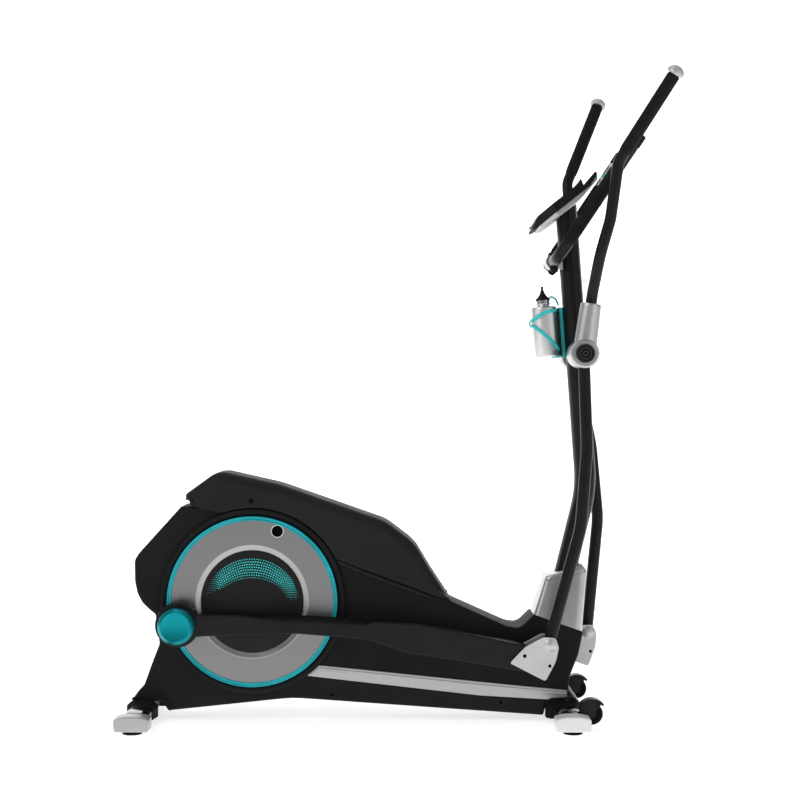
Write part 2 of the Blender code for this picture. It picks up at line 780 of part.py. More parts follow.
def add_wheel_forks(tube, tube_low):
    """Welds each transport wheel's cheeks, pin and arc fender to the front stabiliser."""
    half = WHEEL_WIDTH / 2 + RUNNING
    inner = WHEEL_RADIUS + FENDER_GAP
    arc_low = circle(WHEEL_X, WHEEL_Z, inner, 10, 38.0, 158.0)
    arc_high = circle(WHEEL_X, WHEEL_Z, inner + FENDER_THICK, 10, 38.0, 158.0)
    fender = arc_low + arc_high[::-1]
    back = FRONT_X + TUBE_LENGTH_X / 2 - TUBE_WALL / 2
    cheek = [(back, tube_low + CHEEK_INSET), (WHEEL_X, WHEEL_Z - CHEEK_RADIUS)]
    cheek += circle(WHEEL_X, WHEEL_Z, CHEEK_RADIUS, 4, -60.0, 30.0)
    cheek += circle(WHEEL_X, WHEEL_Z, inner + FENDER_THICK / 2, 6, 48.0, 150.0)
    cheek += [(back, tube_low + TUBE_HEIGHT - CHEEK_INSET)]
    for side in (-1, 1):
        middle = side * WHEEL_Y
        low = middle - half - PLATE_THICK / 2
        high = middle + half + PLATE_THICK / 2
        join(tube, extruded("cheek", cheek, low, middle - half, "frame_black"))
        join(tube, extruded("cheek", cheek, middle + half, high, "frame_black"))
        join(tube, extruded("fender", fender, low + 0.0005, high - 0.0005, "frame_black"))
        join(tube, rod("pin", WHEEL_X, WHEEL_Z, WHEEL_PIN_RADIUS, low + 0.001, high - 0.001, sides=16))


def make_wheels():
    """Makes the two transport wheels on their own joint frames."""
    half = WHEEL_WIDTH / 2
    bore = WHEEL_PIN_RADIUS + RUNNING
    profile = [(bore, -half), (0.012, -half), (0.013, -half + 0.003), (0.019, -half + 0.003), (0.020, -half)]
    profile += [(WHEEL_RADIUS - 0.003, -half), (WHEEL_RADIUS, -half + 0.003)]
    profile += [(r, -y) for r, y in profile[::-1]]
    for side, word in ((-1, "right"), (1, "left")):
        joint = empty("wheel_joint_" + word, WHEEL_X, side * WHEEL_Y, WHEEL_Z)
        wheel = turned("transport_wheel_" + word, profile, "rubber", 20)
        hang(smooth(wheel), joint, local=True)


def plate_outline():
    """Returns a bearing plate's side view, from the crank's bearing to the flywheel's."""
    low = BEAM_LOW + BEAM_WALL * 1.5
    return rounded(
        [
            (CRANK_X - 0.090, low, 0.0),
            (FLYWHEEL_X + 0.070, low, 0.0),
            (FLYWHEEL_X + 0.030, FLYWHEEL_Z + 0.015, 0.015),
            (FLYWHEEL_X - 0.020, FLYWHEEL_Z + 0.030, 0.015),
            (FLYWHEEL_X - 0.060, FLYWHEEL_Z + 0.125, 0.012),
            (FLYWHEEL_X - 0.110, FLYWHEEL_Z + 0.125, 0.012),
            (FLYWHEEL_X - 0.150, FLYWHEEL_Z - 0.010, 0.050),
            (CRANK_X + 0.040, CRANK_Z + 0.015, 0.020),
            (CRANK_X + 0.012, CRANK_Z + 0.038, 0.015),
            (CRANK_X - 0.030, CRANK_Z + 0.036, 0.015),
            (CRANK_X - 0.045, CRANK_Z, 0.020),
        ]
    )


def brake_pin():
    """Returns the place of the magnet bracket's pin."""
    turn = math.radians(BRAKE_TO_DEG)
    reach = FLYWHEEL_RADIUS + BRAKE_GAP + BRAKE_THICK
    return FLYWHEEL_X + reach * math.cos(turn), FLYWHEEL_Z + reach * math.sin(turn)


def make_frame():
    """Makes the welded frame: beam, bearing plates and shell, saddles and the mast's socket."""
    beam_high = BEAM_LOW + BEAM_HEIGHT
    rear = REAR_X - 0.003
    front = FRONT_X - 0.0017
    tube_top = FOOT_HEIGHT + (CAP_HEIGHT + TUBE_HEIGHT) / 2 + GAP
    beam = [(rear, BEAM_LOW), (front, BEAM_LOW), (front, beam_high), (rear + BEAM_SLANT, beam_high)]
    beam.append((rear, BEAM_LOW + BEAM_WALL * 1.2))
    frame = extruded("main_frame", beam, -BEAM_HALF, BEAM_HALF, "frame_black")
    inner_y = (-BEAM_HALF + BEAM_WALL, BEAM_HALF - BEAM_WALL)
    inner_z = (BEAM_LOW + BEAM_WALL, beam_high - BEAM_WALL)
    cut(frame, block("bore", (rear - CUT_PAST, front + CUT_PAST), inner_y, inner_z, "frame_black"))
    half = BEAM_HALF - BEAM_WALL / 2
    overlap = BEAM_LOW + BEAM_WALL / 2
    for saddle in ((rear + 0.001, rear + SADDLE_LENGTH), (front - SADDLE_LENGTH, front - 0.001)):
        join(frame, block("saddle", saddle, (-half, half), (tube_top, overlap), "frame_black"))
    outline = plate_outline()
    for side in (-1, 1):
        low = min(side * (PLATE_IN - BEAM_WALL / 2), side * PLATE_OUT)
        high = max(side * (PLATE_IN - BEAM_WALL / 2), side * PLATE_OUT)
        join(frame, extruded("plate", outline, low, high, "frame_black"))
    join(frame, rod("shell", CRANK_X, CRANK_Z, BEARING_RADIUS, -PLATE_OUT - 0.003, PLATE_OUT + 0.003))
    socket = mast_path(beam_high - BEAM_WALL / 2, SOCKET_TOP_Z)
    inside = MAST_WALL + GAP
    slope = [MAST_HALF_X - inside, MAST_HALF_Y - inside]
    join(frame, swept("socket", socket, slope[0], slope[1], SOCKET_WALL, "frame_black"))
    reach = PLATE_OUT + 0.010
    cut(frame, rod("bore", CRANK_X, CRANK_Z, AXLE_RADIUS + GAP, -reach, reach))
    cut(frame, rod("bore", FLYWHEEL_X, FLYWHEEL_Z, FLYWHEEL_AXLE_RADIUS + GAP, -reach, reach, sides=22))
    pin_x, pin_z = brake_pin()
    cut(frame, rod("bore", pin_x, pin_z, BRAKE_PIN_RADIUS + GAP, -reach, reach, sides=16))
    return frame


def make_housings():
    """Makes the two housing shells, which meet at the middle plane."""
    outline = housing_outline()
    inside = housing_outline(-HOUSING_WALL)
    rim_in = DISC_RADIUS + DISC_RUNNING_GAP
    beam_high = BEAM_LOW + BEAM_HEIGHT
    for side, word in ((-1, "right"), (1, "left")):
        outer = side * HOUSING_HALF
        low, high = sorted((side * SEAM / 2, outer))
        shell = extruded("housing_" + word, outline, low, high, "casing_black")
        root = side * (HOUSING_HALF - HOUSING_WALL / 2)
        rim_out = rim_in + RIM_WIDTH
        ring = [(rim_in, root), (rim_out, root), (rim_out, side * (RIM_FACE - RIM_BEVEL))]
        ring += [(rim_out - RIM_BEVEL, side * RIM_FACE), (rim_in, side * RIM_FACE)]
        join(shell, turned("rim", ring, "casing_black", 48, at(CRANK_X, CRANK_Z)))
        low, high = sorted((-side * CUT_PAST, side * (HOUSING_HALF - HOUSING_WALL)))
        cut(shell, extruded("hollow", inside, low, high, "casing_black"))
        low, high = sorted((0.0, 2 * outer))
        cut(shell, rod("axle_hole", CRANK_X, CRANK_Z, AXLE_RADIUS + 0.002, low, high))
        mouth = (-BEAM_HALF - 0.002, BEAM_HALF + 0.002)
        level = (0.020, BEAM_LOW + 0.010)
        rear = (REAR_X - 0.0045, REAR_X + SADDLE_LENGTH)
        front = (FRONT_X - 0.0017 - SADDLE_LENGTH - 0.002, FRONT_X + 0.0005)
        cut(shell, block("mouth", rear, mouth, level, "casing_black"))
        cut(shell, block("mouth", front, mouth, level, "casing_black"))
        opening = mast_path(beam_high + 0.060, BASE_LINE_REAR[1] + 0.060)
        grow = MAST_PASS_GAP
        mouth = swept("mast_mouth", opening, MAST_HALF_X + grow, MAST_HALF_Y + grow, 0, "casing_black", 20)
        cut(shell, mouth)


def make_top_cover():
    """Makes the cover that sits astride both housing shells and clears the disc's rim ring."""
    half = HOUSING_HALF + COVER_STAND
    cover = extruded("top_cover", cover_outline(), -half, half, "casing_black")
    seat = HOUSING_HALF + GAP
    cut(cover, extruded("seat", housing_outline(GAP), -seat, seat, "casing_black"))
    ring = DISC_RADIUS + DISC_RUNNING_GAP + RIM_WIDTH + GAP
    for side in (-1, 1):
        low, high = sorted((side * (HOUSING_HALF - CUT_PAST), side * (half + CUT_PAST)))
        cut(cover, rod("ring", CRANK_X, CRANK_Z, ring, low, high, "casing_black", 48))
    return cover


def make_trims():
    """Makes the silver strips along the foot of the housing."""
    outline = rounded(
        [
            (CRANK_X + 0.1529, 0.1467, 0.004),
            (CRANK_X + 0.1157, 0.1188, 0.004),
            (CRANK_X + 0.5876, 0.0660, 0.300),
            (FRONT_X - 0.0484, 0.0497 + 0.006, 0.010),
            (FRONT_X + 0.0020, 0.0560, 0.004),
            (FRONT_X + 0.0025, 0.0795, 0.003),
        ]
    )
    ring = DISC_RADIUS + DISC_RUNNING_GAP + RIM_WIDTH + GAP
    for side, word in ((-1, "right"), (1, "left")):
        low, high = sorted((side * (HOUSING_HALF + GAP), side * (HOUSING_HALF + GAP + TRIM_THICK)))
        trim = extruded("side_trim_" + word, outline, low, high, "silver_plastic")
        low, high = sorted((side * (HOUSING_HALF - CUT_PAST), side * (RIM_FACE + CUT_PAST)))
        cut(trim, rod("ring", CRANK_X, CRANK_Z, ring, low, high, "silver_plastic", 48))


def make_mast():
    """Makes the oval mast with its bend and the cross tube that carries the pivot axle."""
    axis = mast_path(MAST_FOOT_Z, CONSOLE_Z + 0.120)
    mast = swept("mast", axis, MAST_HALF_X, MAST_HALF_Y, MAST_WALL, "frame_black")
    under = -CONSOLE_THICK / 2 - 2 * GAP - CONSOLE_BACK_THICK
    high = under + 0.3
    above = [on_console(u, w) for u, w in ((-0.1, under), (0.3, under), (0.3, high), (-0.1, high))]
    cut(mast, extruded("above", above, -MAST_HALF_Y * 2, MAST_HALF_Y * 2, "frame_black"))
    join(mast, rod("cross", PIVOT_X, PIVOT_Z, CROSS_TUBE_RADIUS, -CROSS_TUBE_HALF, CROSS_TUBE_HALF))
    reach = CROSS_TUBE_HALF + CUT_PAST
    cut(mast, rod("bore", PIVOT_X, PIVOT_Z, PIVOT_AXLE_RADIUS + GAP, -reach, reach))
    axle_end = HUB_OUT + GAP + PIVOT_CAP_THICK / 2
    smooth(rod("pivot_axle", PIVOT_X, PIVOT_Z, PIVOT_AXLE_RADIUS, -axle_end, axle_end, "chrome"))
    return smooth(mast)


def make_base_covers():
    """Makes the tapered halves that close round the mast's foot."""
    rear = (BASE_LINE_REAR[0] + 0.0015, BASE_LINE_REAR[1] + 2 * GAP)
    front = (BASE_LINE_FRONT[0] - 0.0005, BASE_LINE_FRONT[1] + 2 * GAP)
    top = MAST_BEND_Z - BASE_REAR_DROP
    outline = rounded(
        [
            (*rear, 0.0),
            (*front, 0.0),
            (MAST_BEND_X - 0.0014, MAST_BEND_Z - 0.2128, 0.008),
            (MAST_BEND_X - 0.0140, MAST_BEND_Z - BASE_FRONT_DROP, 0.006),
            (MAST_BEND_X - 0.1110, top, 0.004),
        ]
    )
    foot = front[1]
    rise = MAST_BEND_Z - BASE_FRONT_DROP - foot
    inside = [Vector(point) for point in offset(outline, -BASE_WALL)]
    rear_down = (inside[0] - inside[-1]).normalized() * OPEN_SOLE
    front_down = (inside[1] - inside[2]).normalized() * OPEN_SOLE
    hollow = [tuple(inside[0] + rear_down), tuple(inside[1] + front_down)]
    hollow += [tuple(point) for point in inside[2:]]
    for side, word in ((-1, "right"), (1, "left")):
        cover = tapered("base_cover_" + word, outline, side, foot, rise, 0.0)
        cut(cover, tapered("hollow", hollow, side, foot, rise, BASE_WALL))
        mouth = mast_path(SOCKET_TOP_Z, MAST_BEND_Z - 0.01)
        cut(cover, swept("mouth", mouth, MAST_HALF_X + GAP, MAST_HALF_Y + GAP, 0, "silver_plastic"))


def tapered(name, outline, side, foot, rise, inset):
    """Extrudes an outline to one side of the middle plane, narrower the higher it is."""
    made = extruded(name, outline, 0.0, 1.0, "silver_plastic")
    start = side * SEAM / 2 if inset == 0 else -side * CUT_PAST
    for vertex in made.data.vertices:
        up = (vertex.co.z - foot) / rise
        half = BASE_HALF_LOW + (BASE_HALF_HIGH - BASE_HALF_LOW) * up - inset
        vertex.co.y = start if vertex.co.y < 0.5 else side * half
    return outward(made)


def outward(made):
    """Points a closed mesh's faces outwards again."""
    work = bmesh.new()
    work.from_mesh(made.data)
    bmesh.ops.recalc_face_normals(work, faces=work.faces)
    work.to_mesh(made.data)
    work.free()
    return made


def crank_arm(crank_deg, side):
    """Makes one crank arm with its pin, which ends at the pedal bar."""
    turn = math.radians(crank_deg)
    aside = Vector((-math.sin(turn), math.cos(turn))) * CRANK_ARM_HALF
    pin = Vector(crank_pin(crank_deg))
    hub = Vector((CRANK_X, CRANK_Z))
    outline = circle(hub.x, hub.y, CRANK_ARM_HALF, 10, crank_deg + 90, crank_deg + 270)
    outline += circle(pin.x, pin.y, CRANK_ARM_HALF, 10, crank_deg - 90, crank_deg + 90)
    low, high = sorted((side * CRANK_ARM_IN, side * CRANK_ARM_OUT))
    arm = extruded("arm", outline, low, high, "cast_iron")
    low, high = sorted((side * (CRANK_ARM_IN + 0.001), side * PIN_FACE))
    return join(arm, rod("pin", pin.x, pin.y, CRANK_PIN_RADIUS, low, high, "cast_iron"))


def make_crank():
    """Makes the crankshaft, both discs and the drive pulley on the crank's joint frame."""
    joint = empty("crank_joint", CRANK_X, 0, CRANK_Z)
    end = CRANK_ARM_OUT - 0.001
    shaft = rod("crankshaft", CRANK_X, CRANK_Z, AXLE_RADIUS, -end, end, "cast_iron")
    for side, crank_deg in ((-1, RIGHT_CRANK_DEG), (1, LEFT_CRANK_DEG)):
        join(shaft, crank_arm(crank_deg, side))
        hang(make_disc(side, crank_deg), joint)
    hang(shaft, joint)
    inner = PULLEY_OFFSET
    outer = PULLEY_OFFSET + PULLEY_WIDTH
    web = (inner + outer - PULLEY_WEB) / 2
    bore = AXLE_RADIUS + GAP
    hub = BEARING_RADIUS
    profile = [(bore, inner), (hub, inner), (hub, web), (PULLEY_RADIUS - PULLEY_RIM, web)]
    profile += [(PULLEY_RADIUS - PULLEY_RIM, inner), (PULLEY_RADIUS, inner), (PULLEY_RADIUS, outer)]
    profile += [(PULLEY_RADIUS - PULLEY_RIM, outer), (PULLEY_RADIUS - PULLEY_RIM, web + PULLEY_WEB)]
    profile += [(hub, web + PULLEY_WEB), (hub, outer), (bore, outer)]
    pulley = turned("drive_pulley", profile, "casing_black", 32, at(CRANK_X, CRANK_Z))
    hang(smooth(pulley), joint)


def make_disc(side, crank_deg):
    """Makes a crank disc: a dished plate with a proud rim band and a domed centre."""
    skirt = DISC_RADIUS - DISC_SKIRT
    band = DISC_RADIUS - RIM_BAND
    back = DISC_BACK + 0.001
    crown = DISC_FACE + RIM_PROUD
    profile = [(0, back), (skirt, back), (skirt, CRANK_ARM_IN), (DISC_RADIUS, CRANK_ARM_IN)]
    profile += [(DISC_RADIUS, DISC_FACE), (DISC_RADIUS - 0.003, crown), (band + 0.003, crown)]
    profile += [(band, DISC_FACE), (DOME_RADIUS + 0.006, DISC_FACE), (DOME_RADIUS, DISC_FACE - 0.003)]
    bulge = (DOME_RADIUS**2 + DOME_HEIGHT**2) / (2 * DOME_HEIGHT)
    for share in (0.99, 0.75, 0.40):
        radius = DOME_RADIUS * share
        profile.append((radius, DOME_TOP - bulge + math.sqrt(bulge**2 - radius**2)))
    profile.append((0, DOME_TOP))
    profile = [(r, side * y) for r, y in profile]
    word = "right" if side < 0 else "left"
    disc = turned("crank_disc_" + word, profile, "silver_plastic", 48, at(CRANK_X, CRANK_Z))
    pin_x, pin_z = crank_pin(crank_deg)
    cut(disc, rod("bore", pin_x, pin_z, CRANK_PIN_RADIUS + GAP, -BASE_HALF, BASE_HALF))
    hole_x, hole_z = crank_pin(crank_deg - DISC_HOLE_DEG)
    cut(disc, rod("hole", hole_x, hole_z, DISC_HOLE_RADIUS, -BASE_HALF, BASE_HALF))
    return disc


def make_flywheel():
    """Makes the flywheel with its axle and small pulley, on its joint frame."""
    joint = empty("flywheel_joint", FLYWHEEL_X, 0, FLYWHEEL_Z)
    half = FLYWHEEL_WIDTH / 2
    web = FLYWHEEL_WEB / 2
    axle = FLYWHEEL_AXLE_RADIUS
    rim = FLYWHEEL_RADIUS - FLYWHEEL_RIM
    inner = PULLEY_OFFSET
    outer = PULLEY_OFFSET + PULLEY_WIDTH
    shoulder = PLATE_IN - BEAM_WALL / 2 - 0.002
    hub = FLYWHEEL_HUB_RADIUS
    profile = [(0, -PLATE_OUT - 0.001), (axle, -PLATE_OUT - 0.001), (axle, -shoulder), (hub, -shoulder)]
    profile += [(hub, -web), (rim, -web), (rim, -half), (FLYWHEEL_RADIUS, -half), (FLYWHEEL_RADIUS, half)]
    profile += [(rim, half), (rim, web), (hub, web), (hub, shoulder), (axle, shoulder), (axle, inner)]
    profile += [(FLYWHEEL_PULLEY_RADIUS, inner)]
    profile += [(FLYWHEEL_PULLEY_RADIUS, outer), (axle, outer), (axle, outer + 0.003), (0, outer + 0.003)]
    hang(smooth(turned("flywheel", profile, "cast_iron", 28)), joint, local=True)


def make_belt():
    """Makes the belt: a band on the tangents of both pulleys."""
    dx = FLYWHEEL_X - CRANK_X
    dz = FLYWHEEL_Z - CRANK_Z
    line = math.degrees(math.atan2(dz, dx))
    lean = math.degrees(math.acos((PULLEY_RADIUS - FLYWHEEL_PULLEY_RADIUS) / math.hypot(dx, dz)))

    def loop(extra):
        large = circle(CRANK_X, CRANK_Z, PULLEY_RADIUS + extra, 20, line + lean, line + 360 - lean)
        small = circle(FLYWHEEL_X, FLYWHEEL_Z, FLYWHEEL_PULLEY_RADIUS + extra, 6, line - lean, line + lean)
        return large + small

    low = PULLEY_OFFSET + 0.001
    high = PULLEY_OFFSET + PULLEY_WIDTH - 0.001
    belt = extruded("drive_belt", loop(GAP + BELT_THICK + BELT_SLACK), low, high, "rubber")
    return cut(belt, extruded("inside", loop(GAP + BELT_SLACK), low - CUT_PAST, high + CUT_PAST, "rubber"))


def make_brake():
    """Makes the magnet bracket over the flywheel's rim, which lifts about its rear pin."""
    pin_x, pin_z = brake_pin()
    joint = empty("brake_joint", pin_x, 0, pin_z)
    inner = FLYWHEEL_RADIUS + BRAKE_GAP
    shoe = circle(FLYWHEEL_X, FLYWHEEL_Z, inner, 10, BRAKE_FROM_DEG, BRAKE_TO_DEG)
    shoe += circle(FLYWHEEL_X, FLYWHEEL_Z, inner + BRAKE_THICK, 10, BRAKE_TO_DEG, BRAKE_FROM_DEG)
    half = PLATE_IN - BEAM_WALL / 2 - 0.002
    bracket = extruded("magnet_bracket", shoe, -half, half, "frame_black")
    join(bracket, rod("boss", pin_x, pin_z, 0.008, -half + 0.0005, half - 0.0005, sides=16))
    join(bracket, rod("pin", pin_x, pin_z, BRAKE_PIN_RADIUS, -PLATE_OUT, PLATE_OUT, sides=16))
    hang(bracket, joint)


def make_arm(side, word, joint):
    """Makes one swinging arm in its own frame, whose origin is the pivot and whose -Z runs to the clevis."""
    y = side * ARM_Y
    corners = [Vector((cx, y, cz)) for cx, cz, _ in ARM_CORNERS]
    corners = [Vector((0, y, 0))] + corners + [Vector((0, y, -ARM_LENGTH))]
    bends = [0] + [radius for _, _, radius in ARM_CORNERS] + [0]
    whole = route([(*corner, bend) for corner, bend in zip(corners, bends)], 6.0)
    corners[0] += (corners[1] - corners[0]).normalized() * ARM_SOLID_END
    corners[-1] += (corners[-2] - corners[-1]).normalized() * ARM_SOLID_END
    inside = route([(*corner, bend) for corner, bend in zip(corners, bends)], 6.0)
    arm = swept("lower_arm_" + word, whole, ARM_RADIUS, ARM_RADIUS, 0, "frame_black", 12)
    bore = ARM_RADIUS - ARM_WALL
    cut(arm, swept("inside", inside, bore, bore, 0, "frame_black", 12))
    low, high = sorted((side * HUB_IN, side * HUB_OUT))
    join(arm, rod("bush", 0, 0, ARM_BUSH_RADIUS, low, high))
    half = BAR_WIDTH / 2 - FORK_PLATE - 0.004 - FORK_RUNNING
    join(arm, rod("bush", 0, -ARM_LENGTH, CLEVIS_BUSH_RADIUS, y - half, y + half))
    cut(arm, rod("bore", 0, 0, PIVOT_AXLE_RADIUS + RUNNING, low - CUT_PAST, high + CUT_PAST))
    cut(arm, rod("bore", 0, -ARM_LENGTH, FORK_PIN_RADIUS + RUNNING, y - BAR_WIDTH, y + BAR_WIDTH))
    vent_z = -ARM_LENGTH / 2
    cut(arm, rod("vent", 0.043, vent_z, VENT_RADIUS, min(y, 0), max(y, 0), sides=8))
    hang(smooth(arm), joint, local=True)
    make_hub(side, word, joint)
    make_handle(side, word, joint)


def make_hub(side, word, joint):
    """Makes the silver shell over the pivot, with the sleeve that the handle stands in."""
    low, high = sorted((side * (HUB_IN + 0.001), side * HUB_OUT))
    edge = HUB_RADIUS - 0.003
    profile = [(0, low), (edge, low), (HUB_RADIUS, low + 0.003)]
    profile += [(HUB_RADIUS, high - 0.003), (edge, high), (0, high)]
    hub = turned("pivot_hub_" + word, profile, "silver_plastic", 24)
    sleeve_y = side * SLEEVE_Y
    path = [Vector((0, sleeve_y, HUB_RADIUS / 2)), Vector((HANDLE_CORNERS[0][0], sleeve_y, SLEEVE_TOP))]
    sleeve = swept("sleeve", path, SLEEVE_HALF_X, SLEEVE_HALF_Y, 0, "silver_plastic", 16, SLEEVE_TOP_HALF_X)
    join(hub, sleeve)
    cut(hub, rod("bore", 0, 0, ARM_BUSH_RADIUS + GAP, low - CUT_PAST, high + CUT_PAST))
    y = side * ARM_Y
    first = ARM_CORNERS[0]
    down = Vector((first[0], 0, first[1])).normalized()
    arm_path = [Vector((0, y, 0)), Vector((0, y, 0)) + down * (HUB_RADIUS + CUT_PAST)]
    cut(hub, swept("arm_bore", arm_path, ARM_RADIUS + GAP, ARM_RADIUS + GAP, 0, "silver_plastic", 16))
    bore_x = HANDLE_CORNERS[0][0]
    handle_path = [Vector((bore_x, sleeve_y, 0.0)), Vector((bore_x, sleeve_y, SLEEVE_TOP + CUT_PAST))]
    grow = HANDLE_RADIUS + GAP
    cut(hub, swept("handle_bore", handle_path, grow, grow, 0, "silver_plastic", 16))
    hang(smooth(hub), joint, local=True)
    start = HUB_OUT + GAP
    ring = PIVOT_CAP_RADIUS
    cap = [(PIVOT_AXLE_RADIUS + GAP, start), (ring, start), (ring, start + PIVOT_CAP_THICK - 0.004)]
    cap += [(ring - 0.004, start + PIVOT_CAP_THICK), (0.011, start + PIVOT_CAP_THICK)]
    cap += [(0.010, start + PIVOT_CAP_THICK - 0.003), (0, start + PIVOT_CAP_THICK - 0.003)]
    floor = start + PIVOT_CAP_THICK / 2 + GAP
    cap += [(0, floor), (PIVOT_AXLE_RADIUS + GAP, floor)]
    made = turned_cup("pivot_cap_" + word, [(r, side * y) for r, y in cap], "casing_black", 20)
    hang(smooth(made), joint, local=True)


def turned_cup(name, profile, finish, sides):
    """Spins a cup's profile that touches the axis on its inner and outer face."""
    first = [k for k, (r, _) in enumerate(profile) if r == 0][0]
    turned_profile = profile[first + 1:] + profile[:first]
    return turned(name, [profile[first + 1]] + turned_profile[1:] + [profile[first]], finish, sides)


def handle_path(side):
    """Returns the moving handle's axis in the arm's frame, and the direction of its top."""
    base = SLEEVE_Y
    start = (HANDLE_CORNERS[0][0], side * base, ARM_BUSH_RADIUS + 2 * GAP, 0)
    corners = [start] + [(x, side * (base + out), z, radius) for x, out, z, radius in HANDLE_CORNERS]
    corners.append((HANDLE_TOP[0], side * (base + HANDLE_TOP[1]), HANDLE_TOP[2], 0))
    path = route(corners, 10.0)
    return path, (path[-1] - path[-2]).normalized()


def make_handle(side, word, joint):
    """Makes the moving handle, its grip and its domed end cap."""
    path, top = handle_path(side)
    handle = swept("handle_" + word, path, HANDLE_RADIUS, HANDLE_RADIUS, HANDLE_WALL, "frame_black", 12)
    hang(smooth(handle), joint, local=True)
    last = path[-1]
    knee = path[-2]
    grip_path = [knee.lerp(last, GRIP_START), knee.lerp(last, GRIP_END)]
    outer = HANDLE_RADIUS + GAP + GRIP_THICK
    across = carried(path)[-1][1]
    grip = swept("grip_" + word, grip_path, outer, outer, GRIP_THICK, "grip_rubber", 12, None, across)
    hang(smooth(grip), joint, local=True)
    radius = HANDLE_CAP_RADIUS
    side_end = GAP + HANDLE_CAP_SIDE
    profile = [(0, GAP), (radius - 0.002, GAP), (radius, GAP + 0.002), (radius, side_end)]
    for turn_deg in (30, 60):
        turn = math.radians(turn_deg)
        profile.append((radius * math.cos(turn), side_end + HANDLE_CAP_DOME * math.sin(turn)))
    profile.append((0, side_end + HANDLE_CAP_DOME))
    cap = turned("handle_cap_" + word, profile, "chrome", 20, towards(last, top))
    hang(smooth(cap), joint, local=True)


def from_clevis(points):
    """Moves outline corners from crank-based distances to the clevis, where the bar's frame starts."""
    return [(x - BAR_LENGTH, z, radius) for x, z, radius in points]


def bar_outline():
    """Returns the pedal bar's side view: the ring over the crank pin, then the bar's underside and top."""
    ring = circle(-BAR_LENGTH, 0, CRANK_HUB_RADIUS, 20, HUB_TOP_DEG, 360 - HUB_UNDER_DEG)
    low = (ring[-1][0], ring[-1][1], 0.0)
    high = (ring[0][0], ring[0][1], 0.0)
    under = from_clevis(BAR_UNDER_REAR[::-1]) + BAR_UNDER_FRONT[::-1]
    top = BAR_TOP_FRONT[::-1] + from_clevis(BAR_TOP_REAR[::-1])
    return ring[1:-1] + rounded([low] + under + top + [high])


def make_bar(side, word, joint):
    """Makes a pedal bar in its own frame, whose origin is the clevis and whose -X runs to the crank."""
    low, high = sorted((side * BAR_IN, side * BAR_OUT))
    outline = bar_outline()
    bar = extruded("pedal_bar_" + word, outline, low, high, "frame_black")
    wall = BAR_WALL
    hollow = extruded("hollow", offset(outline, -wall), low + wall, high - wall, "frame_black")
    cut(hollow, rod("bush", -BAR_LENGTH, 0, CRANK_BUSH_RADIUS, low, high))
    cut(bar, hollow)
    vent_low, vent_high = sorted((side * (BAR_IN - CUT_PAST), side * ARM_Y))
    cut(bar, rod("vent", -BAR_LENGTH / 2, 0.004, VENT_RADIUS, vent_low, vent_high, sides=8))
    add_fork(bar, side)
    hang(bar, joint, local=True)
    step_low, step_high = sorted((side * BAR_IN, side * (BAR_IN + STEP_WIDTH)))
    seat = STEP_SEAT + GAP
    tread = seat + STEP_THICK
    step = [(STEP_FROM, seat, 0), (STEP_TO, seat, 0), (STEP_TO, tread, 0.003), (STEP_FROM, tread, 0.003)]
    plate = extruded("foot_plate_" + word, rounded(from_clevis(step)), step_low, step_high, "casing_black")
    hang(plate, joint, local=True)
    start = BAR_OUT + GAP
    end = start + CRANK_CAP_THICK
    radius = CRANK_CAP_RADIUS
    profile = [(0, start), (radius, start), (radius, end - CRANK_CAP_BEVEL), (radius - 0.003, end - 0.003)]
    profile += [(radius - CRANK_CAP_BEVEL, end), (0, end)]
    profile = [(r, side * y) for r, y in profile]
    cap = turned("crank_cap_" + word, profile, "teal_plastic", 28, at(-BAR_LENGTH, 0))
    hang(smooth(cap), joint, local=True)
    make_clevis_cover(side, word, joint)


def add_fork(bar, side):
    """Welds the fork's plates and its pin to the front of a pedal bar."""
    middle = side * ARM_Y
    plate_out = BAR_WIDTH / 2 - 0.004
    back = BAR_END
    outline = [(back, -0.060), (back + 0.010, -0.060)]
    outline += circle(0, 0, FORK_HALF, 8, -60.0, 110.0)
    outline += [(back, -0.020)]
    for sign in (-1, 1):
        low, high = sorted((middle + sign * (plate_out - FORK_PLATE), middle + sign * plate_out))
        join(bar, extruded("fork", outline, low, high, "frame_black"))
    reach = plate_out - 0.001
    join(bar, rod("pin", 0, 0, FORK_PIN_RADIUS, middle - reach, middle + reach, sides=16))


def make_clevis_cover(side, word, joint):
    """Makes the shell over the fork: two cheeks and the web that joins them below the arm."""
    outline = rounded(CLEVIS_OUTLINE)
    half = BAR_WIDTH / 2 + CLEVIS_STAND
    middle = side * ARM_Y
    cover = extruded("clevis_cover_" + word, outline, middle - half, middle + half, "pale_silver")
    inner = half - CLEVIS_PLATE
    cut(cover, extruded("room", CLEVIS_ROOM, middle - inner, middle + inner, "pale_silver"))
    inside = offset(outline, -CLEVIS_PLATE)
    cut(cover, extruded("room", inside, middle - inner, middle + inner, "pale_silver"))
    post_x, post_z = CLEVIS_POST
    for sign in (-1, 1):
        near = middle + sign * (BAR_WIDTH / 2 + GAP)
        low, high = sorted((near, middle + sign * (half - CLEVIS_PLATE / 2)))
        join(cover, rod("post", post_x, post_z, CLEVIS_POST_RADIUS, low, high, sides=12))
    hang(cover, joint, local=True)


def make_sides():
    """Makes both linkages at the tilts that close them on their cranks."""
    for side, word, crank_deg in ((-1, "right", RIGHT_CRANK_DEG), (1, "left", LEFT_CRANK_DEG)):
        clevis_x, clevis_z, arm_deg, bar_deg = closed_linkage(crank_deg)
        arm_joint = empty("arm_joint_" + word, PIVOT_X, 0, PIVOT_Z, arm_deg)
        bar_joint = empty("bar_joint_" + word, clevis_x, 0, clevis_z, bar_deg)
        make_arm(side, word, arm_joint)
        make_bar(side, word, bar_joint)


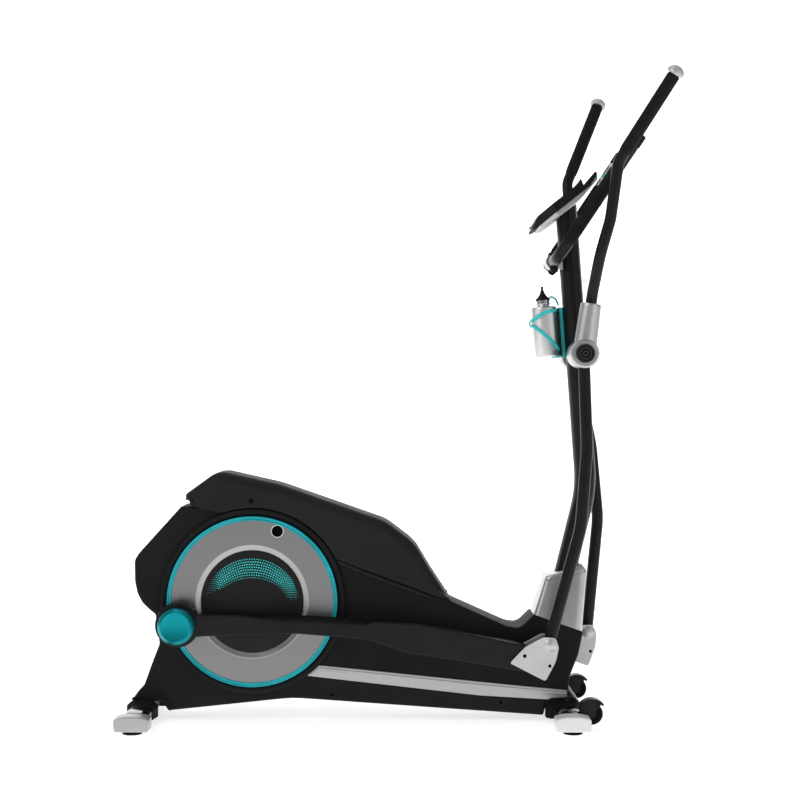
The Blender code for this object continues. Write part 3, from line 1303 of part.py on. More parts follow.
def make_console():
    """Makes the console: slab, back, lens and three buttons."""
    half = CONSOLE_THICK / 2
    end = CONSOLE_LENGTH
    slab = [
        (0.0, -half + 0.003, 0.003),
        (0.012, -half, 0.008),
        (end - 0.0336, -half, 0.010),
        (end, 0.0018, 0.001),
        (end - 0.0016, 0.0090, 0.002),
        (end - 0.0396, 0.0015, 0.0),
        (end - 0.0466, 0.0000, 0.001),
        (end - 0.0416, half + 0.0050, 0.0),
        (end - 0.0436, half + 0.0056, 0.0),
        (end - 0.0546, half, 0.0),
        (0.026, half, 0.030),
        (0.0, half - 0.016, 0.004),
    ]
    housing = extruded("console_housing", console_outline(slab), -CONSOLE_HALF, CONSOLE_HALF, "casing_black")
    roof = half - CONSOLE_WALL
    low = -half - CUT_PAST
    pocket_end = end - 0.0576
    inner = CONSOLE_HALF - CONSOLE_WALL
    narrow = [(0.024, low, 0), (0.024, roof, 0), (pocket_end, roof, 0), (pocket_end, low, 0)]
    start = CONSOLE_NARROW_TO + 0.006
    end_in = pocket_end + 0.001
    lower_roof = roof - 0.0005
    lower = low - 0.001
    wide = [(start, lower, 0), (start, lower_roof, 0), (end_in, lower_roof, 0), (end_in, lower, 0)]
    reach = CONSOLE_POCKET_HALF
    pocket = extruded("pocket", console_outline(narrow), -reach, reach, "casing_black")
    join(pocket, extruded("wide", console_outline(wide), -inner, inner, "casing_black"))
    cut(housing, pocket)
    seat = half - LENS_THICK - GAP
    window = [(LENS_FROM - GAP, seat, 0), (LENS_TO + GAP, seat, 0)]
    window += [(LENS_TO + GAP, half + CUT_PAST, 0), (LENS_FROM - GAP, half + CUT_PAST, 0)]
    reach = LENS_HALF + GAP
    cut(housing, extruded("window", console_outline(window), -reach, reach, "casing_black"))
    lens = [(LENS_FROM, seat + GAP, 0), (LENS_TO, seat + GAP, 0), (LENS_TO, half, 0), (LENS_FROM, half, 0)]
    extruded("display_lens", console_outline(lens), -LENS_HALF, LENS_HALF, "lens_dark")
    make_buttons(housing, roof)
    top = -half - GAP
    low = top - CONSOLE_BACK_THICK
    back = [
        (0.016, top, 0.0),
        (end - 0.0337, top, 0.0),
        (end - 0.0036, 0.0000, 0.0),
        (end - 0.0011, 0.0006, 0.0),
        (end - 0.0082, low + 0.0125, 0.004),
        (0.150, low + 0.0022, 0.020),
        (0.135, low, 0.030),
        (0.062, low, 0.030),
        (0.030, low + 0.0020, 0.006),
        (0.018, low + 0.0070, 0.003),
    ]
    reach = CONSOLE_HALF - 0.004
    shell = extruded("console_back", console_outline(back), -reach, reach, "pale_silver")
    for side in (-1, 1):
        for piece in (housing, shell):
            plan = [(-0.030, side * CONSOLE_LOW_HALF), (0.0, side * CONSOLE_LOW_HALF)]
            plan.append((CONSOLE_NARROW_TO, side * (CONSOLE_HALF + GAP)))
            plan += [(CONSOLE_NARROW_TO, side * CONSOLE_HALF * 2), (-0.030, side * CONSOLE_HALF * 2)]
            cut(piece, console_prism("corner", plan))


def console_prism(name, plan):
    """Pulls a plan of (u, y) corners through the console along its normal."""
    reach = 2 * CONSOLE_THICK + CONSOLE_BACK_THICK
    points = []
    for w in (-reach, reach):
        for u, y in plan:
            x, z = on_console(u, w)
            points.append((x, y, z))
    count = len(plan)
    faces = [list(range(count)), list(range(2 * count - 1, count - 1, -1))]
    faces += [[k, (k + 1) % count, count + (k + 1) % count, count + k] for k in range(count)]
    return solid(name, points, faces, "casing_black")


def make_buttons(housing, roof):
    """Makes the buttons in their holes, each with a flange under the slab's roof."""
    x, z = on_console(BUTTON_U, 0.0)
    tilt = math.radians(CONSOLE_TILT_DEG)
    normal = Vector((-math.sin(tilt), 0, math.cos(tilt)))
    high = CONSOLE_THICK / 2 + BUTTON_PROUD
    flange = BUTTON_RADIUS + BUTTON_FLANGE
    for name, y in (("mode_button", -BUTTON_PITCH), ("down_button", 0.0), ("up_button", BUTTON_PITCH)):
        place = towards(Vector((x, y, z)), normal)
        bore = BUTTON_RADIUS + GAP
        hole = [(0, roof - CUT_PAST), (bore, roof - CUT_PAST), (bore, 0.05), (0, 0.05)]
        cut(housing, turned("hole", hole, "casing_black", 14, place))
        joint = empty(name + "_joint", x, y, z)
        stop = roof - GAP
        profile = [(0, stop - 0.002), (flange, stop - 0.002), (flange, stop), (BUTTON_RADIUS, stop)]
        profile += [(BUTTON_RADIUS, high - 0.001), (BUTTON_RADIUS - 0.001, high), (0, high)]
        hang(smooth(turned(name, profile, "silver_plastic", 14, place)), joint)


def make_handlebar():
    """Makes the fixed handlebar and the clamp that holds it behind the mast."""
    corners = [
        (BAR_TIP_X, -BAR_TIP_HALF, BAR_TIP_Z, 0),
        (BAR_CROSS_X, -BAR_CROSS_HALF, BAR_CROSS_Z, BAR_BEND_RADIUS),
        (BAR_CROSS_X, BAR_CROSS_HALF, BAR_CROSS_Z, BAR_BEND_RADIUS),
        (BAR_TIP_X, BAR_TIP_HALF, BAR_TIP_Z, 0),
    ]
    radius = BAR_TUBE_RADIUS
    smooth(swept("fixed_handlebar", route(corners, 12.0), radius, radius, BAR_TUBE_WALL, "frame_black", 12))
    inner = BAR_TUBE_RADIUS + GAP
    outer = inner + CLAMP_WALL
    low = -CLAMP_HALF
    high = CLAMP_HALF
    reach = mast_x(BAR_CROSS_Z) - MAST_HALF_X / 2
    pad = [(BAR_CROSS_X + 0.003, BAR_CROSS_Z - inner), (reach, BAR_CROSS_Z - outer - 0.003)]
    pad += [(reach, BAR_CROSS_Z + outer + 0.003), (BAR_CROSS_X + 0.003, BAR_CROSS_Z + inner)]
    clamp = extruded("handlebar_clamp", pad, low + 0.002, high - 0.002, "silver_plastic")
    join(clamp, rod("ring", BAR_CROSS_X, BAR_CROSS_Z, outer, low, high, "silver_plastic", 24))
    straight = [Vector((mast_x(z), 0, z)) for z in (BAR_CROSS_Z - 0.1, BAR_CROSS_Z + 0.1)]
    cut(clamp, swept("mast", straight, MAST_HALF_X + GAP, MAST_HALF_Y + GAP, 0, "silver_plastic"))
    cut(clamp, rod("bore", BAR_CROSS_X, BAR_CROSS_Z, inner, low - CUT_PAST, high + CUT_PAST, sides=24))
    return clamp


def cage_frame():
    """Returns the bottle's place: its axis leans with the mast, and its base is at the origin."""
    lean = Matrix.Rotation(-math.radians(MAST_LEAN_DEG), 4, "Y")
    stand = BOTTLE_RADIUS + CAGE_CLEARANCE + CAGE_SPINE_THICK + CAGE_STANDOFF + MAST_HALF_X
    x = mast_x(BOTTLE_Z) - stand / math.cos(math.radians(MAST_LEAN_DEG))
    return Matrix.Translation((x, 0, BOTTLE_Z)) @ lean


def upright(place):
    """Turns a place so that a turned piece's axis runs along the place's Z."""
    return place @ Matrix.Rotation(math.pi / 2, 4, "X")


def make_bottle():
    """Makes the drink bottle, its cap, and the cage that holds them to the mast."""
    place = cage_frame()
    joint = empty("bottle_joint", *place.translation)
    wall = BOTTLE_WALL
    shoulder = BOTTLE_BODY + BOTTLE_SHOULDER
    mouth = shoulder + NECK_HEIGHT
    radius = BOTTLE_RADIUS
    outside = [(0, 0), (radius - 0.004, 0), (radius, 0.004), (radius, BOTTLE_BODY)]
    outside += [(radius - 0.006, BOTTLE_BODY + 0.008), (NECK_RADIUS, shoulder), (NECK_RADIUS, mouth)]
    inside = [(NECK_RADIUS - wall, mouth), (NECK_RADIUS - wall, shoulder - wall / 2)]
    inside += [(radius - 0.007, BOTTLE_BODY + 0.007), (radius - wall, BOTTLE_BODY - wall)]
    inside += [(radius - wall, 0.005), (radius - 0.005, wall + 0.001), (0, wall + 0.002)]
    bottle = turned("bottle", outside + inside, "bottle_steel", 24, upright(place))
    hang(smooth(bottle), joint)
    ring = BOTTLE_CAP_RADIUS
    start = shoulder + 0.0015
    top = start + BOTTLE_CAP_HEIGHT
    cap = [(NECK_RADIUS + GAP, start), (ring, start), (ring, start + 0.014), (ring - 0.004, start + 0.0165)]
    cap += [(0.0100, start + 0.023), (0.0050, start + 0.033), (0.0025, top - 0.001), (0, top)]
    cap += [(0, mouth + GAP), (NECK_RADIUS + GAP, mouth + GAP)]
    pole = len(cap) - 2
    profile = cap[pole:] + cap[:pole]
    hang(smooth(turned("bottle_cap", profile, "casing_black", 24, upright(place))), joint)
    make_cage(place)


def make_cage(place):
    """Makes the cage: a spine on the mast and two slanted hoops that meet in front of the bottle."""
    reach = BOTTLE_RADIUS + CAGE_CLEARANCE + CAGE_WIRE
    spine_in = BOTTLE_RADIUS + CAGE_CLEARANCE
    spine_out = spine_in + CAGE_SPINE_THICK
    low = -0.004
    high = BOTTLE_BODY + 0.010
    outline = [(spine_in, low), (spine_out, low), (spine_out, high), (spine_in, high)]
    cage = extruded("bottle_cage", outline, -CAGE_SPINE_HALF, CAGE_SPINE_HALF, "teal_plastic")
    ledge = [(0.012, low), (spine_in + 0.002, low), (spine_in + 0.002, -GAP), (0.012, -GAP)]
    join(cage, extruded("ledge", ledge, -CAGE_LEDGE_HALF, CAGE_LEDGE_HALF, "teal_plastic"))
    for up in (low + 0.025, high - 0.025):
        deep = spine_out + CAGE_STANDOFF + 0.008
        foot = [(spine_out - 0.001, up - 0.008), (deep, up - 0.008)]
        foot += [(deep, up + 0.008), (spine_out - 0.001, up + 0.008)]
        half = CAGE_SPINE_HALF - 0.002
        join(cage, extruded("standoff", foot, -half, half, "teal_plastic"))
    for start, meet in ((high - 0.010, CAGE_TIP_UP + 0.003), (low + 0.010, CAGE_TIP_UP - 0.003)):
        hoop = []
        for turn_deg in range(0, 360, 18):
            turn = math.radians(turn_deg)
            share = (1 - math.cos(turn)) / 2
            up = start + (meet - start) * share
            hoop.append(Vector((reach * math.cos(turn), reach * math.sin(turn), up)))
        join(cage, closed_wire("hoop", hoop, CAGE_WIRE, "teal_plastic", 6))
    cage.data.transform(place)
    straight = [Vector((mast_x(z), 0, z)) for z in (BOTTLE_Z - 0.1, BOTTLE_Z + 0.3)]
    cut(cage, swept("mast", straight, MAST_HALF_X + GAP, MAST_HALF_Y + GAP, 0, "teal_plastic"))
    return cage


def closed_wire(name, path, radius, finish, sides):
    """Carries a circle round a closed path about the Z axis."""
    count = len(path)
    points = []
    for k in range(count):
        tangent = (path[(k + 1) % count] - path[k - 1]).normalized()
        out = Vector((path[k].x, path[k].y, 0)).normalized()
        out = (out - tangent * out.dot(tangent)).normalized()
        up = tangent.cross(out)
        for side in range(sides):
            turn = 2 * math.pi * side / sides
            points.append(path[k] + out * (radius * math.cos(turn)) + up * (radius * math.sin(turn)))
    faces = []
    for k in range(count):
        a = k * sides
        b = (k + 1) % count * sides
        faces += [[a + s, a + (s + 1) % sides, b + (s + 1) % sides, b + s] for s in range(sides)]
    return solid(name, points, faces, finish)


def stand_at_origin():
    """Hangs everything on one frame and brings the middle of the machine's length to X = 0."""
    machine = bpy.data.objects.new("machine", None)
    bpy.context.scene.collection.objects.link(machine)
    for made in list(bpy.data.objects):
        if made is not machine and made.parent is None:
            made.parent = machine
    bpy.context.view_layer.update()
    reach = [
        (made.matrix_world @ Vector(corner)).x
        for made in bpy.data.objects
        if made.type == "MESH"
        for corner in [vertex.co for vertex in made.data.vertices]
    ]
    machine.location.x = -(min(reach) + max(reach)) / 2
    bpy.context.view_layer.update()


make_base()
make_wheels()
make_frame()
make_housings()
make_top_cover()
make_trims()
make_mast()
make_base_covers()
make_crank()
make_flywheel()
make_belt()
make_brake()
make_sides()
make_console()
make_handlebar()
make_bottle()
stand_at_origin()
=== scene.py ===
"""Looks of a rear-drive elliptical cross trainer: surfaces worked out as arrays, and procedural finishes."""

import json

import bmesh
import bpy
import numpy as np
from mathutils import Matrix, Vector
from mathutils.geometry import tessellate_polygon


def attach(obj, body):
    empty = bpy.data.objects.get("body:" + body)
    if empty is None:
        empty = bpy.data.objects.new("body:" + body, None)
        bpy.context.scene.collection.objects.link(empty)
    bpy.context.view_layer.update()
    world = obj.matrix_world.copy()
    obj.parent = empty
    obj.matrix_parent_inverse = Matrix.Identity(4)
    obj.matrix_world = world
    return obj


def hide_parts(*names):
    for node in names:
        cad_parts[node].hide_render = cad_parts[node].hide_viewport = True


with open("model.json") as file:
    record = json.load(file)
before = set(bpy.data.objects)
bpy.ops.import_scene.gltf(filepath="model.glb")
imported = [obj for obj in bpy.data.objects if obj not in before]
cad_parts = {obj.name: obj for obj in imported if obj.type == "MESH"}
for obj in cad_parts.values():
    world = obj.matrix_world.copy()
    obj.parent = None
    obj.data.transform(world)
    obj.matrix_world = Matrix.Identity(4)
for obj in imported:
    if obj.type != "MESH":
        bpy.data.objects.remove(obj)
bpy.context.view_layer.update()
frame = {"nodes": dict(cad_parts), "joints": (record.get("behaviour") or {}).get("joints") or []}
joints = {joint["name"]: joint for joint in frame["joints"]}

# Places along X are counted from the photograph's middle, and SHIFT brings them to the model's frame.
SHIFT = joints["crank_spin"]["pos_m"][0] + 0.3806
GAP = 0.0003
CRANK = np.array(joints["crank_spin"]["pos_m"])
PIVOT = np.array(joints["arm_right_swing"]["pos_m"])
CRANK_X, CRANK_Z = CRANK[0], CRANK[2]
CRANK_RADIUS = 0.1926
CRANK_DEG = {"right": 196.0, "left": 253.0}
SIDES = (("right", -1), ("left", 1))
MAST_X, MAST_Z = SHIFT + 0.4895, 0.5981
MAST_HALF = (0.028, 0.036)
MAST_LEAN, MAST_SLOPE = np.radians(4.1), np.radians(14.05)
REAR_X, FRONT_X = SHIFT - 0.6651, SHIFT + 0.4297
HOUSING_HALF = 0.075
COVER_HALF = 0.088
RING_INNER, RING_OUTER, RING_FACE = 0.2216, 0.2376, 0.091
DISC_BACK, DISC_FACE, DOME_TOP = 0.0878, 0.0988, 0.1113
BAR_IN, BAR_OUT = 0.1121, 0.1621
ARM_Y = (BAR_IN + BAR_OUT) / 2
HUB_IN, HUB_OUT = 0.0623, ARM_Y + 0.037
SLEEVE_Y = ARM_Y + 0.010
BAR_LENGTH = 0.947
ARM_LENGTH = 0.7438
CONSOLE_TILT = np.radians(38.2)
CONSOLE_X, CONSOLE_Z = SHIFT + 0.3400, 1.2775
DISC_INNER, DISC_OUTER = 0.1465, 0.2086
DOME_EDGE, LOCK_RADIUS = 0.1302, 0.0147
SHROUD_FOOT, SHROUD_TOP = 0.0738, 0.0458
BAR_RING = 0.056
TREAD_START, TREAD_END = 0.219, 0.476
BOTTLE_RADIUS, BOTTLE_Z = 0.0345, 0.9430
STRAP_RADIUS = 0.0390
HANDLE_RADIUS = 0.0145
FOOT_Y = 0.2435
END_CAP_IN, END_CAP_OUT = 0.215, 0.272
CAMERA_AWAY, CAMERA_Z = 4.4, 0.8297


# Finishes


class Finish:
    """A procedural material: a Principled shader and the nodes that feed it."""

    def __init__(self, name, color, roughness, metallic=0.0, coat=0.0, specular=0.5):
        self.material = bpy.data.materials.new(name)
        self.material.use_nodes = True
        self.nodes = self.material.node_tree.nodes
        self.links = self.material.node_tree.links
        self.shader = self.nodes["Principled BSDF"]
        self.color, self.roughness = color, roughness
        self.put("Base Color", (*color, 1))
        self.put("Roughness", roughness)
        self.put("Metallic", metallic)
        self.put("Coat Weight", coat)
        self.put("Coat Roughness", 0.12)
        self.put("Specular IOR Level", specular)
        self.place = self.nodes.new("ShaderNodeTexCoord").outputs["Object"]
        self.relief = None

    def put(self, socket, value):
        self.shader.inputs[socket].default_value = value

    def node(self, kind, *inputs, **settings):
        """Adds a node, sets its properties, and links or fills its inputs in order."""
        made = self.nodes.new(kind)
        for key, value in settings.items():
            setattr(made, key, value)
        for socket, value in zip(made.inputs, inputs):
            if isinstance(value, bpy.types.NodeSocket):
                self.links.new(value, socket)
            elif value is not None:
                socket.default_value = value
        return made

    def noise(self, scale, detail=3.0, place=None):
        """Noise over the object's own metres: scale is bumps a metre."""
        made = self.node("ShaderNodeTexNoise")
        self.links.new(place or self.place, made.inputs["Vector"])
        made.inputs["Scale"].default_value = scale
        made.inputs["Detail"].default_value = detail
        return made.outputs["Fac"]

    def math(self, operation, *inputs):
        return self.node("ShaderNodeMath", *inputs, operation=operation).outputs[0]

    def ranged(self, value, low, high, to_low, to_high):
        return self.node("ShaderNodeMapRange", value, low, high, to_low, to_high).outputs[0]

    def bumped(self, height, strength, distance):
        """Adds a layer of relief under the ones that are there."""
        made = self.nodes.new("ShaderNodeBump")
        made.inputs["Strength"].default_value = strength
        made.inputs["Distance"].default_value = distance
        self.links.new(height, made.inputs["Height"])
        if self.relief:
            self.links.new(self.relief, made.inputs["Normal"])
        self.relief = made.outputs["Normal"]
        self.links.new(self.relief, self.shader.inputs["Normal"])
        return self

    def grained(self, scale, strength, distance=0.0002):
        """Fine moulded or sprayed texture."""
        return self.bumped(self.noise(scale), strength, distance)

    def mottled(self, scale, amount, low=0.35, high=0.65):
        """Colour that drifts a little darker and lighter across the piece."""
        share = self.ranged(self.noise(scale, 4.0), low, high, 0.0, 1.0)
        self.tinted(
            share, [c * (1 - amount) for c in self.color], [min(1.0, c * (1 + amount)) for c in self.color]
        )
        return self

    def tinted(self, share, dark, light):
        mix = self.nodes.new("ShaderNodeMix")
        mix.data_type = "RGBA"
        self.links.new(share, mix.inputs["Factor"])
        mix.inputs["A"].default_value = (*dark, 1)
        mix.inputs["B"].default_value = (*light, 1)
        self.links.new(mix.outputs["Result"], self.shader.inputs["Base Color"])
        return self

    def handled(self, scale, spread):
        """Roughness that varies as on a surface that hands and cloths have touched."""
        rough = self.ranged(
            self.noise(scale, 5.0), 0.3, 0.7, self.roughness - spread, self.roughness + spread
        )
        self.links.new(rough, self.shader.inputs["Roughness"])
        return self

    def brushed_round(self, centre, lines, strength):
        """Circular brushing about an axis along Y: noise over the radius, drawn out over the angle."""
        from_centre = self.node("ShaderNodeVectorMath", self.place, centre, operation="SUBTRACT").outputs[0]
        parts = self.node("ShaderNodeSeparateXYZ", from_centre)
        x, z = parts.outputs[0], parts.outputs[2]
        radius = self.math("SQRT", self.math("ADD", self.math("MULTIPLY", x, x), self.math("MULTIPLY", z, z)))
        angle = self.math("ARCTAN2", z, x)
        stretched = self.node(
            "ShaderNodeCombineXYZ", self.math("MULTIPLY", radius, lines), 0.0, angle
        ).outputs[0]
        streaks = self.noise(1.0, 6.0, stretched)
        rough = self.ranged(streaks, 0.3, 0.7, self.roughness - 0.06, self.roughness + 0.06)
        self.links.new(rough, self.shader.inputs["Roughness"])
        self.tinted(streaks, [c * 0.88 for c in self.color], [min(1.0, c * 1.12) for c in self.color])
        return self.bumped(streaks, strength, 0.0001)

    def brushed_along(self, scale, strength):
        """Straight brushing: noise that is stretched by a different scale along each axis."""
        mapped = self.node("ShaderNodeMapping", self.place).outputs[0]
        mapped.node.inputs["Scale"].default_value = scale
        streaks = self.noise(1.0, 6.0, mapped)
        rough = self.ranged(streaks, 0.3, 0.7, self.roughness - 0.05, self.roughness + 0.07)
        self.links.new(rough, self.shader.inputs["Roughness"])
        self.tinted(streaks, [c * 0.9 for c in self.color], [min(1.0, c * 1.1) for c in self.color])
        return self.bumped(streaks, strength, 0.0001)


MOULDED = Finish("moulded_black", (0.0078, 0.0078, 0.0084), 0.60, specular=0.18)
MOULDED.grained(1400, 0.10).mottled(9, 0.16).handled(14, 0.05)
COVER = Finish("cover_black", (0.0115, 0.0115, 0.0122), 0.56, specular=0.22)
COVER.grained(1500, 0.08).mottled(7, 0.14).handled(11, 0.05)
TUBE = Finish("powder_black", (0.0062, 0.0062, 0.0066), 0.36, coat=0.02, specular=0.20)
TUBE.grained(700, 0.05).mottled(12, 0.15).handled(18, 0.05)
STEEL = Finish("chassis_black", (0.0090, 0.0090, 0.0090), 0.55, specular=0.20)
STEEL.grained(500, 0.12).mottled(20, 0.20)
SLEEVE = Finish("grip_black", (0.0085, 0.0085, 0.0090), 0.72, specular=0.16)
SLEEVE.grained(2600, 0.35, 0.0003).mottled(40, 0.25)
RUBBER = Finish("rubber_black", (0.0068, 0.0068, 0.0072), 0.78, specular=0.12)
RUBBER.grained(1800, 0.25).mottled(30, 0.30)
SILVER = Finish("satin_silver", (0.58, 0.58, 0.585), 0.34, metallic=0.90)
SILVER.grained(1800, 0.015).mottled(26, 0.04).handled(16, 0.04)
DISC = Finish("brushed_disc", (0.27, 0.27, 0.275), 0.36, metallic=0.85)
DISC.brushed_round(tuple(CRANK), 2600.0, 0.12)
# Painted highlight: the disc's inner bevel is the same brushed metal as its face, made lighter to stand for
# the light it catches.
BEVEL = Finish("bevel_silver", (0.47, 0.47, 0.475), 0.34, metallic=0.80)
BEVEL.grained(1500, 0.03).handled(16, 0.04)
TRIM = Finish("trim_silver", (0.44, 0.44, 0.445), 0.34, metallic=0.88)
TRIM.brushed_along((6, 40, 1600), 0.06)
PALE = Finish("pale_silver", (0.60, 0.60, 0.595), 0.34, metallic=0.45)
PALE.grained(1600, 0.05).mottled(14, 0.05).handled(20, 0.06)
# A white that is painted light: the lit copy of the end caps' silver plastic, and a painted highlight on the
# lock collars.
WHITE_PAINTED_LIGHT = Finish("cap_white", (0.87, 0.87, 0.865), 0.36)
WHITE_PAINTED_LIGHT.grained(1600, 0.04).mottled(14, 0.04).handled(20, 0.05)
TEAL = Finish("teal_gloss", (0.002, 0.440, 0.500), 0.34, metallic=0.15, coat=0.10, specular=0.35)
TEAL.grained(1500, 0.03).mottled(10, 0.12).handled(16, 0.04)
TEAL_DEEP = Finish("teal_cap", (0.002, 0.290, 0.335), 0.33, metallic=0.85, coat=0.05, specular=0.30)
TEAL_DEEP.grained(1500, 0.03).mottled(10, 0.12).handled(16, 0.04)
TEAL_SOFT = Finish("teal_strap", (0.030, 0.640, 0.650), 0.38)
TEAL_SOFT.grained(2200, 0.10).mottled(25, 0.10)
DOT = Finish("teal_print", (0.060, 0.900, 0.830), 0.50, specular=0.2)
DOT.mottled(160, 0.25)
DARK_CHROME = Finish("dark_chrome", (0.30, 0.30, 0.305), 0.16, metallic=1.0)
DARK_CHROME.handled(30, 0.04).grained(400, 0.01)
# Grey of the console's back; on the rear end caps it is painted shade, a shaded copy of the front caps'
# silver plastic.
GREY_AND_PAINTED_CAP_SHADE = Finish("cap_grey", (0.52, 0.52, 0.515), 0.36, metallic=0.40)
GREY_AND_PAINTED_CAP_SHADE.grained(1600, 0.05).mottled(14, 0.05).handled(20, 0.06)
CHROME = Finish("polished_chrome", (0.56, 0.56, 0.57), 0.12, metallic=1.0)
CHROME.handled(30, 0.04).grained(400, 0.01)
BOTTLE = Finish("brushed_bottle", (0.92, 0.92, 0.92), 0.34, metallic=1.0)
BOTTLE.brushed_along((90, 90, 1800), 0.08)
IRON = Finish("turned_iron", (0.16, 0.16, 0.165), 0.45, metallic=0.9)
IRON.grained(900, 0.15).mottled(30, 0.2)
SCREW = Finish("screw_zinc", (0.50, 0.50, 0.51), 0.30, metallic=1.0)
SCREW.grained(2000, 0.05).handled(60, 0.06)
DARK_HOLE = Finish("deep_black", (0.003, 0.003, 0.003), 0.8, specular=0.05)
DARK_HOLE.mottled(40, 0.2)
LENS = Finish("display_glass", (0.006, 0.008, 0.010), 0.09, coat=0.3, specular=0.3)
LENS.handled(25, 0.03)
DIGIT = Finish("display_grey", (0.22, 0.27, 0.25), 0.35)
DIGIT.mottled(60, 0.06)


# Forms


def arc(corner, before, after, radius, count):
    """Points on the arc that rounds a corner.  With the arc's turn w and t from 0 to 1, each is the centre
    plus the start's arm times sin((1-t)w)/sin w plus the end's arm times sin(tw)/sin w."""
    u, v = before / np.linalg.norm(before), after / np.linalg.norm(after)
    half = np.arccos(np.clip(u @ v, -1, 1)) / 2
    reach = min(radius / np.tan(half), 0.48 * np.linalg.norm(before), 0.48 * np.linalg.norm(after))
    middle = (u + v) / np.linalg.norm(u + v)
    centre = corner + middle * (reach / np.cos(half))
    turn = np.pi - 2 * half
    t = np.linspace(0, 1, count)[:, None]
    start, end = corner + u * reach - centre, corner + v * reach - centre
    return centre + start * np.sin((1 - t) * turn) / np.sin(turn) + end * np.sin(t * turn) / np.sin(turn)


def counts(corners, closed=True, step=7.0):
    """How many points each corner's arc takes, one for every step of its turn; a sharp corner takes one."""
    places = np.array([corner[:-1] for corner in corners], float)
    before = places - np.roll(places, 1, 0)
    after = np.roll(places, -1, 0) - places
    cosine = (before * after).sum(1) / (np.linalg.norm(before, axis=1) * np.linalg.norm(after, axis=1))
    turn = np.degrees(np.arccos(np.clip(cosine, -1, 1)))
    number = np.maximum(2, np.round(turn / step).astype(int)) + 1
    number[np.array([corner[-1] for corner in corners]) <= 0] = 1
    if not closed:
        number[[0, -1]] = 1
    return number


def rounded(corners, closed=True, step=7.0, number=None):
    """An outline or path whose corners (place, radius) are arcs: the arcs of all corners in a row."""
    places = np.array([corner[:-1] for corner in corners], float)
    number = counts(corners, closed, step) if number is None else number
    runs = []
    for index, corner in enumerate(corners):
        here = places[index]
        if number[index] == 1:
            runs.append(here[None])
            continue
        after = places[(index + 1) % len(corners)]
        runs.append(arc(here, places[index - 1] - here, after - here, corner[-1], number[index]))
    return np.concatenate(runs)


def outward(outline):
    """Outward normals of a closed outline: each point's two edge normals added, drawn out to the mitre."""
    before = outline - np.roll(outline, 1, 0)
    after = np.roll(outline, -1, 0) - outline
    before = before / np.linalg.norm(before, axis=1)[:, None]
    after = after / np.linalg.norm(after, axis=1)[:, None]
    normal = np.stack((before[:, 1] + after[:, 1], -before[:, 0] - after[:, 0]), 1)
    normal /= np.linalg.norm(normal, axis=1)[:, None]
    flat = (normal * np.stack((before[:, 1], -before[:, 0]), 1)).sum(1)
    nearby = np.roll(outline, 1, 0)
    turn = (nearby[:, 0] * outline[:, 1] - outline[:, 0] * nearby[:, 1]).sum()
    return np.sign(turn) * normal / np.maximum(flat, 0.35)[:, None]


def inset(corners, distance):
    """Corners moved inwards along their mitres, with each radius less on a bulge and more in a hollow."""
    flat = np.array([corner[:2] for corner in corners], float)
    moved = flat - outward(flat) * distance
    before = flat - np.roll(flat, 1, 0)
    after = np.roll(flat, -1, 0) - flat
    nearby = np.roll(flat, 1, 0)
    turn = np.sign((nearby[:, 0] * flat[:, 1] - flat[:, 0] * nearby[:, 1]).sum())
    bulges = turn * (before[:, 0] * after[:, 1] - before[:, 1] * after[:, 0]) > 0
    radii = np.array([corner[2] for corner in corners])
    grown = np.where(radii > 0, np.maximum(2e-4, radii - np.where(bulges, distance, -distance)), 0.0)
    return np.column_stack((moved, grown)).tolist()


def lattice(rows, columns, close_rows=False, close_columns=True):
    """Quads between the rows and columns of a grid of points."""
    i = np.arange(rows if close_rows else rows - 1)[:, None]
    j = np.arange(columns if close_columns else columns - 1)[None]
    down, right = (i + 1) % rows, (j + 1) % columns
    quads = np.stack((i * columns + j, i * columns + right, down * columns + right, down * columns + j), -1)
    return quads.reshape(-1, 4)


def skin(points, close_rows=False, close_columns=True, caps=False):
    """A grid of points (rows, columns, 3) as a form; caps close its first and last row."""
    rows, columns = points.shape[:2]
    faces = lattice(rows, columns, close_rows, close_columns).tolist()
    if caps:
        faces.append(list(range(columns)))
        faces.append(list(range((rows - 1) * columns, rows * columns)))
    return points.reshape(-1, 3), faces


def together(*forms):
    """Several forms as one, with their faces counted on."""
    points, faces, count = [], [], 0
    for form_points, form_faces in forms:
        points.append(form_points)
        faces += [[index + count for index in face] for face in form_faces]
        count += len(form_points)
    return np.concatenate(points), faces


def circle(x, z, radius, y, angle):
    """Points on a circle about an axis along Y, in the plane at y."""
    return np.column_stack((x + radius * np.cos(angle), np.full(len(angle), y), z + radius * np.sin(angle)))


def pressed(corners, rings, holes=(), step=7.0):
    """A plate in the X and Z plane: its outline inset by each ring's first number, at the Y of its second.
    The first and last rings are closed, round any holes (x, z, radius)."""
    layers = []
    number = counts(corners, step=step)
    for distance, y in rings:
        outline = rounded(inset(corners, distance), number=number)
        layers.append(np.column_stack((outline[:, 0], np.full(len(outline), y), outline[:, 1])))
    points, faces = skin(np.stack(layers), caps=not holes)
    if not holes:
        return points, faces
    angle = np.linspace(0, 2 * np.pi, 48, endpoint=False)
    columns = len(layers[0])
    for x, z, radius in holes:
        bore = [circle(x, z, radius, y, angle) for y in (rings[0][1], rings[-1][1])]
        start = len(points)
        points = np.concatenate((points, *bore))
        faces += (lattice(2, 48) + start).tolist()
        for first, base in ((0, start), ((len(rings) - 1) * columns, start + 48)):
            loops = [list(range(first, first + columns)), list(range(base, base + 48))]
            flat = [[Vector((points[k][0], points[k][2], 0)) for k in loop] for loop in loops]
            order = loops[0] + loops[1]
            faces += [[order[k] for k in triangle] for triangle in tessellate_polygon(flat)]
    return points, faces


def roll(radius, y, outer, steps=5):
    """Rings of a rolled edge: a quarter circle from the flank at y to the face at outer, and a margin."""
    t = np.linspace(0, np.pi / 2, steps + 1)
    sign = np.sign(outer - y)
    rings = np.column_stack((radius * (1 - np.cos(t)), outer - sign * radius * (1 - np.sin(t))))
    return np.concatenate((rings, [[radius + 0.0006, outer]])).tolist()


